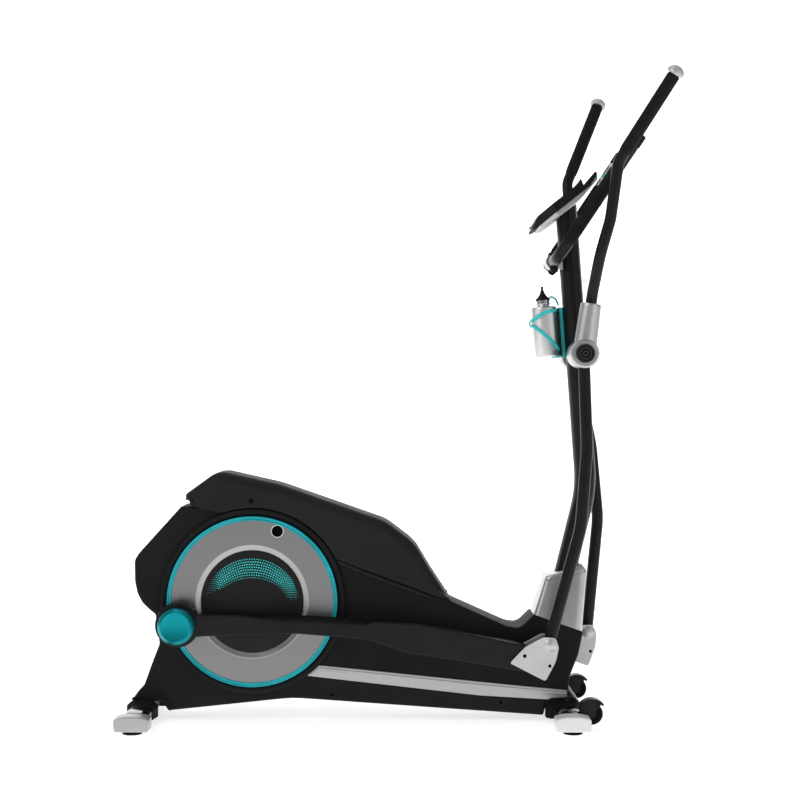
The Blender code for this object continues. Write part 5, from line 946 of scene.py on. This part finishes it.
def tread(word, side, clevis, tilt, body):
    """The foot plate: round ribs across its top, 1.2 mm * sin(pitch)^2 high, that end before its rims."""
    u = np.linspace(TREAD_START, TREAD_END, 360)
    fade = np.clip(np.minimum(u - 0.225, 0.470 - u) / 0.004, 0, 1)
    rib = 0.0012 * np.sin((u - TREAD_START) / 0.0085 * np.pi) ** 2 * fade
    end = np.minimum(u - TREAD_START, TREAD_END - u)
    rim = 0.0363 - 0.0020 * np.clip((0.0012 - end) / 0.0012, 0, 1)
    inner = np.where(end < 0.004, rim, 0.0350 + rib)
    low, high = BAR_IN, BAR_IN + 0.085
    tops = [
        (low, rim - 0.0010), (low + 0.0009, rim), (low + 0.0040, rim), (low + 0.0050, inner),
        (high - 0.0050, inner), (high - 0.0040, rim), (high - 0.0009, rim), (high, rim - 0.0010)
    ]
    layers = []
    for y, top in tops:
        outline = np.concatenate((np.column_stack((u, top)), [[TREAD_END, 0.0304], [TREAD_START, 0.0304]]))
        layers.append(
            np.column_stack((outline[:, 0] - BAR_LENGTH, np.full(len(outline), side * y), outline[:, 1]))
        )
    form = placed(skin(np.stack(layers), caps=True), clevis, tilt)
    piece("tread_" + word, form, body, RUBBER, "foot_plate_" + word, sharp=50)


def softened(node, name, body, finish, width, segments=2):
    """A copy of a small CAD solid, merged, its flat faces joined, with its edges broken by a Bevel."""
    source = frame["nodes"][node]
    mesh = source.data.copy()
    mesh.name = name
    work = bmesh.new()
    work.from_mesh(mesh)
    bmesh.ops.remove_doubles(work, verts=work.verts, dist=5e-6)
    bmesh.ops.dissolve_limit(work, angle_limit=np.radians(0.8), verts=work.verts, edges=work.edges)
    bmesh.ops.recalc_face_normals(work, faces=work.faces)
    work.to_mesh(mesh)
    work.free()
    mesh.materials.clear()
    mesh.materials.append(finish.material)
    mesh.shade_smooth()
    mesh.set_sharp_from_angle(angle=np.radians(24))
    made = bpy.data.objects.new(name, mesh)
    bpy.context.scene.collection.objects.link(made)
    edge = made.modifiers.new("edges", "BEVEL")
    edge.width = width
    edge.segments = segments
    edge.limit_method = "ANGLE"
    edge.angle_limit = np.radians(32)
    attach(made, body)
    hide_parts(node)


# Mast and what it carries


def mast_x(z):
    """The mast's axis: straight above its bend and straight below it."""
    z = np.asarray(z, float)
    return MAST_X + (z - MAST_Z) * np.where(z > MAST_Z, -np.tan(MAST_LEAN), np.tan(MAST_SLOPE))


def mast():
    """The oval mast, cut slanting under the console, and its cross tube."""
    bends = [(mast_x(0.12), 0, 0.12, 0), (MAST_X, 0, MAST_Z, 0.35), (mast_x(1.42), 0, 1.42, 0)]
    path = rounded(bends, closed=False, step=1.0)
    points, faces = tube(path, MAST_HALF[0], MAST_HALF[1], 64)
    tilt = CONSOLE_TILT
    foot = on_console(0.0, -0.0240)
    above = -(points[:, 0] - foot[0]) * np.sin(tilt) + (points[:, 2] - foot[1]) * np.cos(tilt)
    lean = -np.sin(MAST_LEAN) * -np.sin(tilt) + np.cos(MAST_LEAN) * np.cos(tilt)
    drop = np.maximum(above, 0) / lean
    points = points - drop[:, None] * np.array((-np.sin(MAST_LEAN), 0, np.cos(MAST_LEAN)))
    cross = [
        (0.0, -0.062), (0.0154, -0.062), (0.0160, -0.0614), (0.0160, 0.0614), (0.0154, 0.062), (0.0, 0.062)
    ]
    cross = turned(cross, PIVOT, 48)
    piece("mast_tube", together((points, faces), cross), "frame", TUBE, "mast")


def on_console(u, w):
    """X and Z of a point u up the console's slope and w above the middle of its slab."""
    c, s = np.cos(CONSOLE_TILT), np.sin(CONSOLE_TILT)
    return CONSOLE_X + u * c - w * s, CONSOLE_Z + u * s + w * c


def console_corners(points):
    return [(*on_console(u, w), radius) for u, w, radius in points]


def console():
    """The console: the CAD's slab and back with broken edges, the plug, the lens and its digits."""
    softened("console_housing", "console_slab", "frame", MOULDED, 0.0012, 3)
    softened("console_back", "console_shell", "frame", GREY_AND_PAINTED_CAP_SHADE, 0.0030, 4)
    plug = [
        (-0.0010, -0.0020, 0.0015), (0.0060, -0.0072, 0.001), (0.0070, 0.0040, 0.001),
        (0.0000, 0.0050, 0.0015)
    ]
    piece(
        "console_plug", slab(console_corners(plug), -0.020, 0.020, 0.001, steps=3), "frame", SILVER,
    )
    frame_piece()
    digits()


def frame_piece():
    """The lens, and its thin raised frame of four strips that meet at the corners."""
    lens = [
        (0.0700, 0.0098, 0.0004), (0.1500, 0.0098, 0.0004), (0.1500, 0.0110, 0.0004), (0.0700, 0.0110, 0.0004)
    ]
    piece(
        "lens_pane", slab(console_corners(lens), -0.095, 0.095, 0.0004, steps=2), "frame", LENS,
        "display_lens"
    )
    edges = [
        (0.0668, 0.0696, -0.0985, 0.0985), (0.1504, 0.1530, -0.0985, 0.0985),
        (0.0668, 0.1530, -0.0985, -0.0954), (0.0668, 0.1530, 0.0954, 0.0985)
    ]
    strips = []
    for u_low, u_high, y_low, y_high in edges:
        strip = [
            (u_low, 0.0098, 0.0003), (u_high, 0.0098, 0.0003), (u_high, 0.0109, 0.0005),
            (u_low, 0.0109, 0.0005)
        ]
        strips.append(slab(console_corners(strip), y_low, y_high, 0.0003, steps=2))
    piece("lens_frame", together(*strips), "frame", SILVER)


def digits():
    """Seven-segment numbers on the glass: each segment is a thin bar, shown where its digit has it."""
    shown = {"0": "abcdef", "8": "abcdefg"}
    bars = {
        "a": (1, 2, 0), "g": (1, 1, 0), "d": (1, 0, 0), "f": (0, 1, 0), "b": (0, 1, 1), "e": (0, 0, 0),
        "c": (0, 0, 1)
    }
    parts = []
    numbers = (("00:00", 0.118, -0.072, 0.016), ("0.0", 0.118, 0.022, 0.016))
    numbers += (("000", 0.084, -0.072, 0.011), ("80", 0.084, 0.022, 0.011))
    for text, u, y, size in numbers:
        for mark in text:
            if mark not in shown:
                parts.append(flat_bar(u + 0.002, y, 0.0016, 0.0016))
                y += size * 0.45
                continue
            for name in shown[mark]:
                level, up, across = bars[name]
                if level:
                    parts.append(flat_bar(u + up * size * 0.85, y + size * 0.05, 0.0014, size * 0.52))
                else:
                    start = u + (up + 0.12) * size * 0.85
                    parts.append(flat_bar(start, y + across * size * 0.60, size * 0.66, 0.0014))
            y += size * 0.92
    piece("display_digits", together(*parts), "frame", DIGIT)


def flat_bar(u, y, length, width):
    """A thin plate on the lens: length up the slope, width along Y, which the rider reads from +Y to -Y."""
    corners = console_corners([
        (u, 0.01095, 0), (u + length, 0.01095, 0), (u + length, 0.01105, 0), (u, 0.01105, 0)
    ])
    return pressed(corners, [(0.0, -y - width), (0.0, -y)])


def part_tube(path, radius, inner, across, middle, spread):
    """A plate bent round a path, from inner to radius, over middle +- spread radians from across."""
    tangent = (path[-1] - path[0]) / np.linalg.norm(path[-1] - path[0])
    across = across - tangent * (tangent @ across)
    across /= np.linalg.norm(across)
    aside = np.cross(tangent, across)
    angle = np.linspace(middle - spread, middle + spread, 15)
    arm = np.cos(angle)[:, None] * across + np.sin(angle)[:, None] * aside
    loops = np.concatenate(
        (arm[None] * radius[:, None, None], (arm[None] * inner)[:, ::-1].repeat(len(path), 0)), 1
    )
    return skin(path[:, None] + loops, caps=True)


def handlebar():
    """The fixed handlebar: tube, rubber sleeves, pulse plates facing the rider, teal rings and its clamp."""
    cross_x, cross_z, tip_x, tip_z = SHIFT + 0.4015, 1.1920, SHIFT + 0.6070, 1.4997
    corners = [
        (tip_x, -0.185, tip_z, 0), (cross_x, -0.160, cross_z, 0.055), (cross_x, 0.160, cross_z, 0.055),
        (tip_x, 0.185, tip_z, 0)
    ]
    path = rounded(corners, closed=False, step=3.0)
    normal = np.array((-0.832, 0.0, 0.555))
    piece(
        "handlebar_tube", tube(path, 0.0150, across=normal), "frame", TUBE, "fixed_handlebar"
    )
    for word, side in SIDES:
        foot, tip = np.array((cross_x, side * 0.160, cross_z)), np.array((tip_x, side * 0.185, tip_z))

        def at(share, foot=foot, tip=tip):
            return foot + (tip - foot) * share[:, None]

        sleeves = []
        for low, high in ((0.120, 0.702), (0.912, 0.997)):
            share = np.array([
                low, low + 0.002, low + 0.007, low + 0.012, high - 0.012, high - 0.007, high - 0.002, high
            ])
            radius = np.array([0.0150, 0.0159, 0.0169, 0.0165, 0.0165, 0.0168, 0.0160, 0.0150])
            sleeves.append(tube(at(share), radius, across=normal))
        piece("bar_sleeves_" + word, together(*sleeves), "frame", SLEEVE)
        plates = []
        for low, high in ((0.708, 0.778), (0.806, 0.905)):
            share = np.array([low, low + 0.003, low + 0.010, high - 0.010, high - 0.003, high])
            radius = np.array([0.0153, 0.0160, 0.0164, 0.0164, 0.0160, 0.0153])
            plates.append(part_tube(at(share), radius, 0.0149, normal, 0.0, 1.05))
        piece("pulse_plates_" + word, together(*plates), "frame", CHROME)
        share = np.array([0.780, 0.783, 0.801, 0.804])
        ring = part_tube(at(share), np.array([0.0153, 0.0161, 0.0161, 0.0153]), 0.0149, normal, 0.0, 0.95)
        piece("pulse_ring_" + word, ring, "frame", TEAL_SOFT)
        share = np.array([0.9965, 0.9968, 1.0])
        plug = tube(at(share), np.array([0.0146, 0.0149, 0.0140]), across=normal)
        piece("bar_plug_" + word, plug, "frame", CHROME)
    clamp(cross_x, cross_z)


def clamp(x, z):
    """The silver saddle on the mast, and on each side two black jaws and their bolts."""
    softened("handlebar_clamp", "clamp_saddle", "frame", SILVER, 0.0010)
    parts, bolts = [], []
    for _, side in SIDES:
        jaw = [
            (x - 0.012, z + 0.0150, 0.002), (x + 0.012, z + 0.0150, 0.002), (x + 0.010, z + 0.0290, 0.003),
            (x - 0.006, z + 0.0290, 0.003)
        ]
        parts.append(slab(jaw, *between(side, 0.029, 0.040), 0.0012, steps=2))
        jaw = [(px, 2 * z - pz, radius) for px, pz, radius in jaw][::-1]
        parts.append(slab(jaw, *between(side, 0.029, 0.040), 0.0012, steps=2))
        for end in (-1, 1):
            bolts.append(screw((x + 0.002, side * 0.0345, z + end * 0.0290), (0, 0, end), 0.0042, 0.0028))
    piece("clamp_jaws", together(*parts), "frame", MOULDED)
    piece("clamp_bolts", together(*bolts), "frame", DARK_HOLE)


def bottle():
    """The steel drink bottle, its collar and spire cap, the strapped cage and the cap's leash."""
    axis = np.array((-np.sin(MAST_LEAN), 0, np.cos(MAST_LEAN)))
    stand = BOTTLE_RADIUS + 0.0015 + 0.008 + 0.006 + MAST_HALF[0]
    foot = np.array((float(mast_x(BOTTLE_Z)) - stand / np.cos(MAST_LEAN), 0, BOTTLE_Z))
    radius, body, neck = BOTTLE_RADIUS, 0.118, 0.0165
    angle = np.radians(np.arange(0, 91, 15))
    profile = [(0.0, 0.0025), (radius - 0.010, 0.0022), (radius - 0.007, 0.0002)]
    profile += list(zip(radius - 0.0035 + 0.0035 * np.sin(angle), 0.0035 - 0.0035 * np.cos(angle)))
    profile += list(zip(radius - 0.0055 + 0.0055 * np.cos(angle), body + 0.0085 + 0.0050 * np.sin(angle)))
    profile += [
        (neck + 0.004, body + 0.0146), (neck + 0.001, body + 0.0155), (neck, body + 0.017),
        (neck, body + 0.030), (neck - 0.002, body + 0.0306), (0.0, body + 0.0306)
    ]
    piece("bottle_body", turned(profile, foot, 96, axis), "bottle", BOTTLE, "bottle")
    start = body + 0.0190
    collar = [
        (neck + GAP, start), (0.0178, start), (0.0186, start + 0.0012), (0.0186, start + 0.0036),
        (0.0174, start + 0.0048), (0.0174, start + 0.0072), (0.0186, start + 0.0084),
        (0.0186, start + 0.0118), (0.0176, start + 0.0130), (neck + GAP, start + 0.0130)
    ]
    piece("bottle_collar", turned(collar, foot, 72, axis, closed=True), "bottle", CHROME)
    start += 0.0134
    cap = [
        (0.0, start), (0.0186, start - 0.0008), (0.0198, start), (0.0200, start + 0.0012),
        (0.0184, start + 0.0030), (0.0150, start + 0.0056), (0.0112, start + 0.0094),
        (0.0080, start + 0.0140), (0.0056, start + 0.0196), (0.0036, start + 0.0252),
        (0.0026, start + 0.0290), (0.0036, start + 0.0306), (0.0040, start + 0.0326),
        (0.0032, start + 0.0344), (0.0, start + 0.0352)
    ]
    piece("bottle_spire", turned(cap, foot, 72, axis), "bottle", MOULDED, "bottle_cap")
    leash = [
        (SHIFT + 0.3930, 0, 1.1000, 0), (SHIFT + 0.4010, 0, 1.1010, 0.006),
        (SHIFT + 0.4110, 0, 1.0930, 0.010), (SHIFT + 0.4165, 0, 1.0795, 0)
    ]
    piece(
        "cap_leash", tube(rounded(leash, closed=False, step=8), 0.0026, 0.0044, 24), "bottle", TEAL_SOFT,
    )
    cage(foot, axis)


def cage(foot, axis):
    """The cage: two flat teal straps round the bottle, the upper at height start + (meet-start)*s^2.2 and the
    lower with s^0.75 for s = (1 - cos t)/2, the spine with its dark backing, the ledge, and a clip where the
    straps meet."""
    forward = np.array((np.cos(MAST_LEAN), 0, np.sin(MAST_LEAN)))
    out = np.array((0.0, 1.0, 0.0))

    def local(x, y, z):
        return foot + x[..., None] * forward + y[..., None] * out + z[..., None] * axis

    turn = np.linspace(0, 2 * np.pi, 128, endpoint=False) + np.pi / 128
    straps = []
    for start, meet, power in ((0.1205, 0.0945, 2.2), (0.003, 0.0870, 0.75)):
        share = (1 - np.cos(turn)) / 2
        height = start + (meet - start) * share**power
        middle = local(STRAP_RADIUS * np.cos(turn), STRAP_RADIUS * np.sin(turn), height)
        radial = (middle - local(0 * turn, 0 * turn, height)) / STRAP_RADIUS
        tangent = np.roll(middle, -1, 0) - np.roll(middle, 1, 0)
        tangent /= np.linalg.norm(tangent, axis=1)[:, None]
        up = np.cross(tangent, radial)
        angle = np.linspace(0, 2 * np.pi, 16, endpoint=False)
        wide = 0.0016 + 0.0032 * np.abs(np.sin(turn)) ** 0.8
        tall, thick = (np.abs(wave) ** 0.6 * np.sign(wave) for wave in (np.cos(angle), np.sin(angle)))
        raised = up[:, None] * (tall[None, :, None] * wide[:, None, None])
        points = middle[:, None] + raised + radial[:, None] * (thick[None, :, None] * 0.0013)
        straps.append(skin(points, close_rows=True))
    spine = [
        (0.0400, -0.0035, 0.002), (0.0494, -0.0035, 0.003), (0.0494, 0.1275, 0.003), (0.0400, 0.1275, 0.002)
    ]
    ledge = [
        (0.012, -0.0040, 0.001), (0.038, -0.0040, 0.001), (0.038, -0.0004, 0.0008), (0.012, -0.0004, 0.0008)
    ]

    def upright(form):
        points, faces = form
        return local(points[:, 0], points[:, 1], points[:, 2]), faces

    straps.append(upright(slab(spine, -0.0088, 0.0088, 0.0012, steps=3)))
    straps.append(upright(slab(ledge, -0.0138, 0.0138, 0.0008, steps=2)))
    piece("cage_straps", together(*straps), "frame", TEAL_SOFT, "bottle_cage")
    feet = []
    for up in (0.021, 0.103):
        foot_corners = [
            (0.0425, up - 0.0078, 0.001), (0.0545, up - 0.0078, 0.001), (0.0545, up + 0.0078, 0.001),
            (0.0425, up + 0.0078, 0.001)
        ]
        feet.append(upright(slab(foot_corners, -0.0068, 0.0068, 0.001, steps=2)))
    backing = [
        (0.0360, -0.0030, 0.001), (0.0500, -0.0030, 0.003), (0.0500, 0.1270, 0.004), (0.0360, 0.1270, 0.003)
    ]
    feet.append(upright(slab(backing, -0.0062, 0.0062, 0.0010, steps=2)))
    cheeks = [
        (0.0290, 0.0050, 0.006), (0.0385, 0.0000, 0.002), (0.0385, 0.1230, 0.002), (0.0300, 0.1180, 0.006)
    ]
    feet += [upright(slab(cheeks, *between(side, 0.0225, 0.0245), 0.0007, steps=2)) for _, side in SIDES]
    piece("cage_backing", together(*feet), "frame", MOULDED)
    height = np.array([0.0840, 0.0843, 0.0855, 0.0955, 0.0967, 0.0970])
    half = np.array([0.0014, 0.0020, 0.0024, 0.0024, 0.0020, 0.0014])
    clip = tube(local(np.full(6, -0.0392), np.zeros(6), height), half, 0.0040, 20)
    piece("cage_clip", clip, "frame", SCREW)


# Base


def base():
    """Stabilisers with their sleeves, ribbed brackets, end caps, rubber feet, the ramp and the wheels."""
    softened("rear_stabiliser", "rear_tube", "frame", TUBE, 0.0012)
    softened("front_stabiliser", "front_tube", "frame", TUBE, 0.0006)
    # The end caps are one silver plastic: the front ones take a white that is painted light, the rear ones a
    # grey that is painted shade.
    for end, x, finish in (("rear", REAR_X, GREY_AND_PAINTED_CAP_SHADE), ("front", FRONT_X, WHITE_PAINTED_LIGHT)):
        for word, side in SIDES:
            corners = [
                (x - 0.0430, 0.0082, 0.006), (x + 0.0430, 0.0082, 0.006), (x + 0.0440, 0.0400, 0.007),
                (x + 0.0200, 0.0456, 0.050), (x - 0.0200, 0.0456, 0.050), (x - 0.0440, 0.0400, 0.007)
            ]
            shell = slab(corners, *between(side, END_CAP_IN, END_CAP_OUT), 0.0030, step=5, steps=4)
            piece(
                end + "_cap_shell_" + word, shell, "frame", finish,
                "%s_end_cap_%s" % (end, word)
            )
            sleeve = [
                (x - 0.0300, 0.0095, 0.006), (x + 0.0300, 0.0095, 0.006), (x + 0.0330, 0.0350, 0.010),
                (x + 0.0200, 0.0458, 0.016), (x - 0.0200, 0.0458, 0.016), (x - 0.0330, 0.0350, 0.010)
            ]
            sleeve = slab(sleeve, *between(side, 0.118, END_CAP_IN - 0.0004), 0.0010, step=5, steps=2)
            piece(end + "_sleeve_" + word, sleeve, "frame", DARK_CHROME)
            foot = [
                (0.0, 0.0), (0.0220, 0.0), (0.0235, 0.0006), (0.0250, 0.0022), (0.0255, 0.0034),
                (0.0250, 0.0048), (0.0225, 0.0054), (0.0225, 0.0077), (0.0, 0.0077)
            ]
            pad = turned(foot, (x, side * FOOT_Y, 0), 56, (0, 0, 1))
            piece(end + "_pad_" + word, pad, "frame", RUBBER, "%s_foot_%s" % (end, word))
    ribs()
    ramp = [
        (SHIFT + 0.4270, 0.0905, 0.001), (SHIFT + 0.4380, 0.0860, 0.002), (SHIFT + 0.4720, 0.0360, 0.001),
        (SHIFT + 0.4610, 0.0350, 0.001)
    ]
    piece("front_ramp", slab(ramp, -0.046, 0.046, 0.0010, steps=2), "frame", TRIM)
    wheels()


def ribs():
    """The dark bracket beside the casing on each stabiliser, which steps down towards the end in rings, and
    the rounded lip where the casing arches over it."""
    parts = []
    for x in (REAR_X, FRONT_X):
        for _, side in SIDES:
            for k in range(5):
                half, top = 0.0400 - 0.0014 * k, 0.0540 - 0.0018 * k
                back = half + (0.0150, 0.0150, 0.0100, 0.0, 0.0)[k] * (x > 0)
                corners = [
                    (x - back, 0.0100, 0.004), (x + half, 0.0100, 0.004), (x + half, top - 0.012, 0.008),
                    (x + half - 0.014, top, 0.010), (x - half + 0.014, top, 0.010),
                    (x - back, top - 0.012, 0.008)
                ]
                start = 0.0760 + 0.0092 * k
                parts.append(slab(corners, *between(side, start, start + 0.0084), 0.0016, steps=3))
    piece("bracket_ribs", together(*parts), "frame", MOULDED)
    lips = []
    arches = [[
        (REAR_X - 0.0300, 0.0560, 0), (REAR_X - 0.0100, 0.0640, 0.03), (REAR_X + 0.0430, 0.0690, 0.03),
        (REAR_X + 0.0690, 0.0470, 0.02), (REAR_X + 0.0715, 0.0260, 0)
    ]]
    arches.append([
        (FRONT_X - 0.0500, 0.0150, 0), (FRONT_X - 0.0500, 0.0560, 0.014), (FRONT_X + 0.0120, 0.0590, 0.04),
        (FRONT_X + 0.0330, 0.0500, 0)
    ])
    for arch in arches:
        line = evenly(rounded(arch, closed=False, step=6), 60)
        for _, side in SIDES:
            path = np.column_stack((line[:, 0], np.full(60, side * (HOUSING_HALF + 0.0006)), line[:, 1]))
            taper = 0.0036 * np.sqrt(np.clip(np.minimum(np.arange(60), 59 - np.arange(60)) / 5.0, 0.05, 1))
            lips.append(tube(path, taper, sides=16))
    piece("casing_arches", together(*lips), "frame", MOULDED)


def wheels():
    """Transport wheels: a tyre with a crowned tread and a dished hub."""
    half = 0.0130
    tyre = [
        (0.0054, -half), (0.0110, -half), (0.0120, -half + 0.003), (0.0190, -half + 0.003), (0.0205, -half),
        (0.0250, -half), (0.0267, -half + 0.0012), (0.0275, -half + 0.0040), (0.0275, -0.0016),
        (0.0267, -0.0008)
    ]
    tyre += mirrored(tyre[::-1], -1)
    for word, _ in SIDES:
        wheel = turned(tyre, joints["wheel_%s_spin" % word]["pos_m"], 64, closed=True)
        body = "wheel_" + word
        piece("wheel_tyre_" + word, wheel, body, RUBBER, "transport_wheel_" + word, sharp=28)


def plain_nodes():
    """Gives the CAD solids that stay, most of them inside the casing, their finishes."""
    finishes = {
        "main_frame": STEEL, "crankshaft": IRON, "drive_pulley": MOULDED, "flywheel": IRON,
        "magnet_bracket": STEEL, "drive_belt": RUBBER, "pivot_axle": CHROME, "mode_button": SILVER,
        "up_button": SILVER, "down_button": SILVER
    }
    for node, finish in finishes.items():
        mesh = frame["nodes"][node].data
        mesh.materials.clear()
        mesh.materials.append(finish.material)


# Studio


def studio():
    """A pale cove, soft lights and the camera where the photograph was taken from."""
    profile = rounded([(-9.0, 0.0, 0), (9.0, 0.0, 1.6), (9.0, 7.0, 0)], closed=False, step=4)
    size = (len(profile), 2)
    sides = (np.array([[-12.0, 12.0]]), profile[:, :1], profile[:, 1:])
    points = np.stack([np.broadcast_to(values, size) for values in sides], -1)
    points, faces = skin(points, close_columns=False)
    mesh = bpy.data.meshes.new("cove")
    mesh.from_pydata(points.tolist(), [], faces)
    mesh.shade_smooth()
    paper = Finish("cove_paper", (0.94, 0.94, 0.94), 0.85, specular=0.1)
    paper.mottled(0.6, 0.01)
    paper.put("Emission Color", (1, 1, 1, 1))
    paper.put("Emission Strength", 0.72)
    mesh.materials.append(paper.material)
    cove = bpy.data.objects.new("cove", mesh)
    bpy.context.scene.collection.objects.link(cove)
    world = bpy.data.worlds.new("studio")
    bpy.context.scene.world = world
    world.use_nodes = True
    surround(world)
    light("key", (-2.4, -2.6, 3.4), (0, 0, 0.7), 2.2, 34)
    light("fill", (2.8, -3.2, 1.8), (0, 0, 0.7), 2.4, 11)
    light("top", (0.0, 0.4, 4.2), (0, 0, 0.5), 3.2, 20)
    light("wall", (0.0, 2.5, 5.5), (0, 9.0, 1.6), 3.0, 120)
    camera = bpy.data.objects.new("camera", bpy.data.cameras.new("camera"))
    camera.data.sensor_width = 36.0
    camera.data.lens = 75.24
    camera.data.clip_end = 40.0
    camera.location = (SHIFT, -CAMERA_AWAY, CAMERA_Z)
    camera.rotation_euler = (np.radians(90), 0, 0)
    bpy.context.scene.collection.objects.link(camera)
    bpy.context.scene.camera = camera
    bpy.context.scene.view_settings.view_transform = "Standard"


def surround(world):
    """Light from all round: bright walls at both sides with darker bands between them, and a floor below."""
    nodes, links = world.node_tree.nodes, world.node_tree.links
    parts = nodes.new("ShaderNodeSeparateXYZ")
    links.new(nodes.new("ShaderNodeTexCoord").outputs["Generated"], parts.inputs[0])
    back = nodes.new("ShaderNodeMath")
    back.operation = "MULTIPLY"
    back.inputs[1].default_value = -1.0
    links.new(parts.outputs["Y"], back.inputs[0])
    turn = nodes.new("ShaderNodeMath")
    turn.operation = "ARCTAN2"
    links.new(parts.outputs["X"], turn.inputs[0])
    links.new(back.outputs[0], turn.inputs[1])
    bands = (
        (0.0, 0.60), (0.13, 1.0), (0.23, 0.35), (0.30, 1.35), (0.37, 1.1), (0.42, 0.28), (0.49, 0.62),
        (0.56, 0.26), (0.63, 0.85), (0.71, 1.2), (0.80, 0.35), (1.0, 0.60)
    )
    levels = ((0.0, 0.55), (0.44, 0.60), (0.53, 0.95), (0.75, 0.80), (1.0, 0.60))
    shades = []
    for value, low, high, stops in (
        (turn.outputs[0], -np.pi, np.pi, bands), (parts.outputs["Z"], -1.0, 1.0, levels)
    ):
        ranged = nodes.new("ShaderNodeMapRange")
        ranged.inputs["From Min"].default_value = low
        ranged.inputs["From Max"].default_value = high
        links.new(value, ranged.inputs["Value"])
        ramp = nodes.new("ShaderNodeValToRGB")
        ramp.color_ramp.interpolation = "EASE"
        for k, (place, shade) in enumerate(stops):
            stop = ramp.color_ramp.elements[k] if k < 2 else ramp.color_ramp.elements.new(place)
            stop.position = place
            stop.color = (shade, shade, shade, 1)
        links.new(ranged.outputs[0], ramp.inputs[0])
        shades.append(ramp.outputs[0])
    product = nodes.new("ShaderNodeVectorMath")
    product.operation = "MULTIPLY"
    links.new(shades[0], product.inputs[0])
    links.new(shades[1], product.inputs[1])
    plain = nodes.new("ShaderNodeMix")
    plain.data_type = "RGBA"
    plain.inputs["B"].default_value = (2.0, 2.0, 2.0, 1)
    links.new(nodes.new("ShaderNodeLightPath").outputs["Is Camera Ray"], plain.inputs["Factor"])
    links.new(product.outputs[0], plain.inputs["A"])
    links.new(plain.outputs["Result"], nodes["Background"].inputs[0])
    nodes["Background"].inputs[1].default_value = 0.52


def light(name, place, target, size, power):
    """A square soft box that faces a point."""
    lamp = bpy.data.lights.new(name, "AREA")
    lamp.size = size
    lamp.energy = power
    made = bpy.data.objects.new(name, lamp)
    made.location = place
    made.rotation_euler = (Vector(target) - Vector(place)).to_track_quat("-Z", "Y").to_euler()
    bpy.context.scene.collection.objects.link(made)


studio()
plain_nodes()
casing()
shroud()
discs()
for word, side in SIDES:
    linkage(word, side)
mast()
console()
handlebar()
bottle()
base()
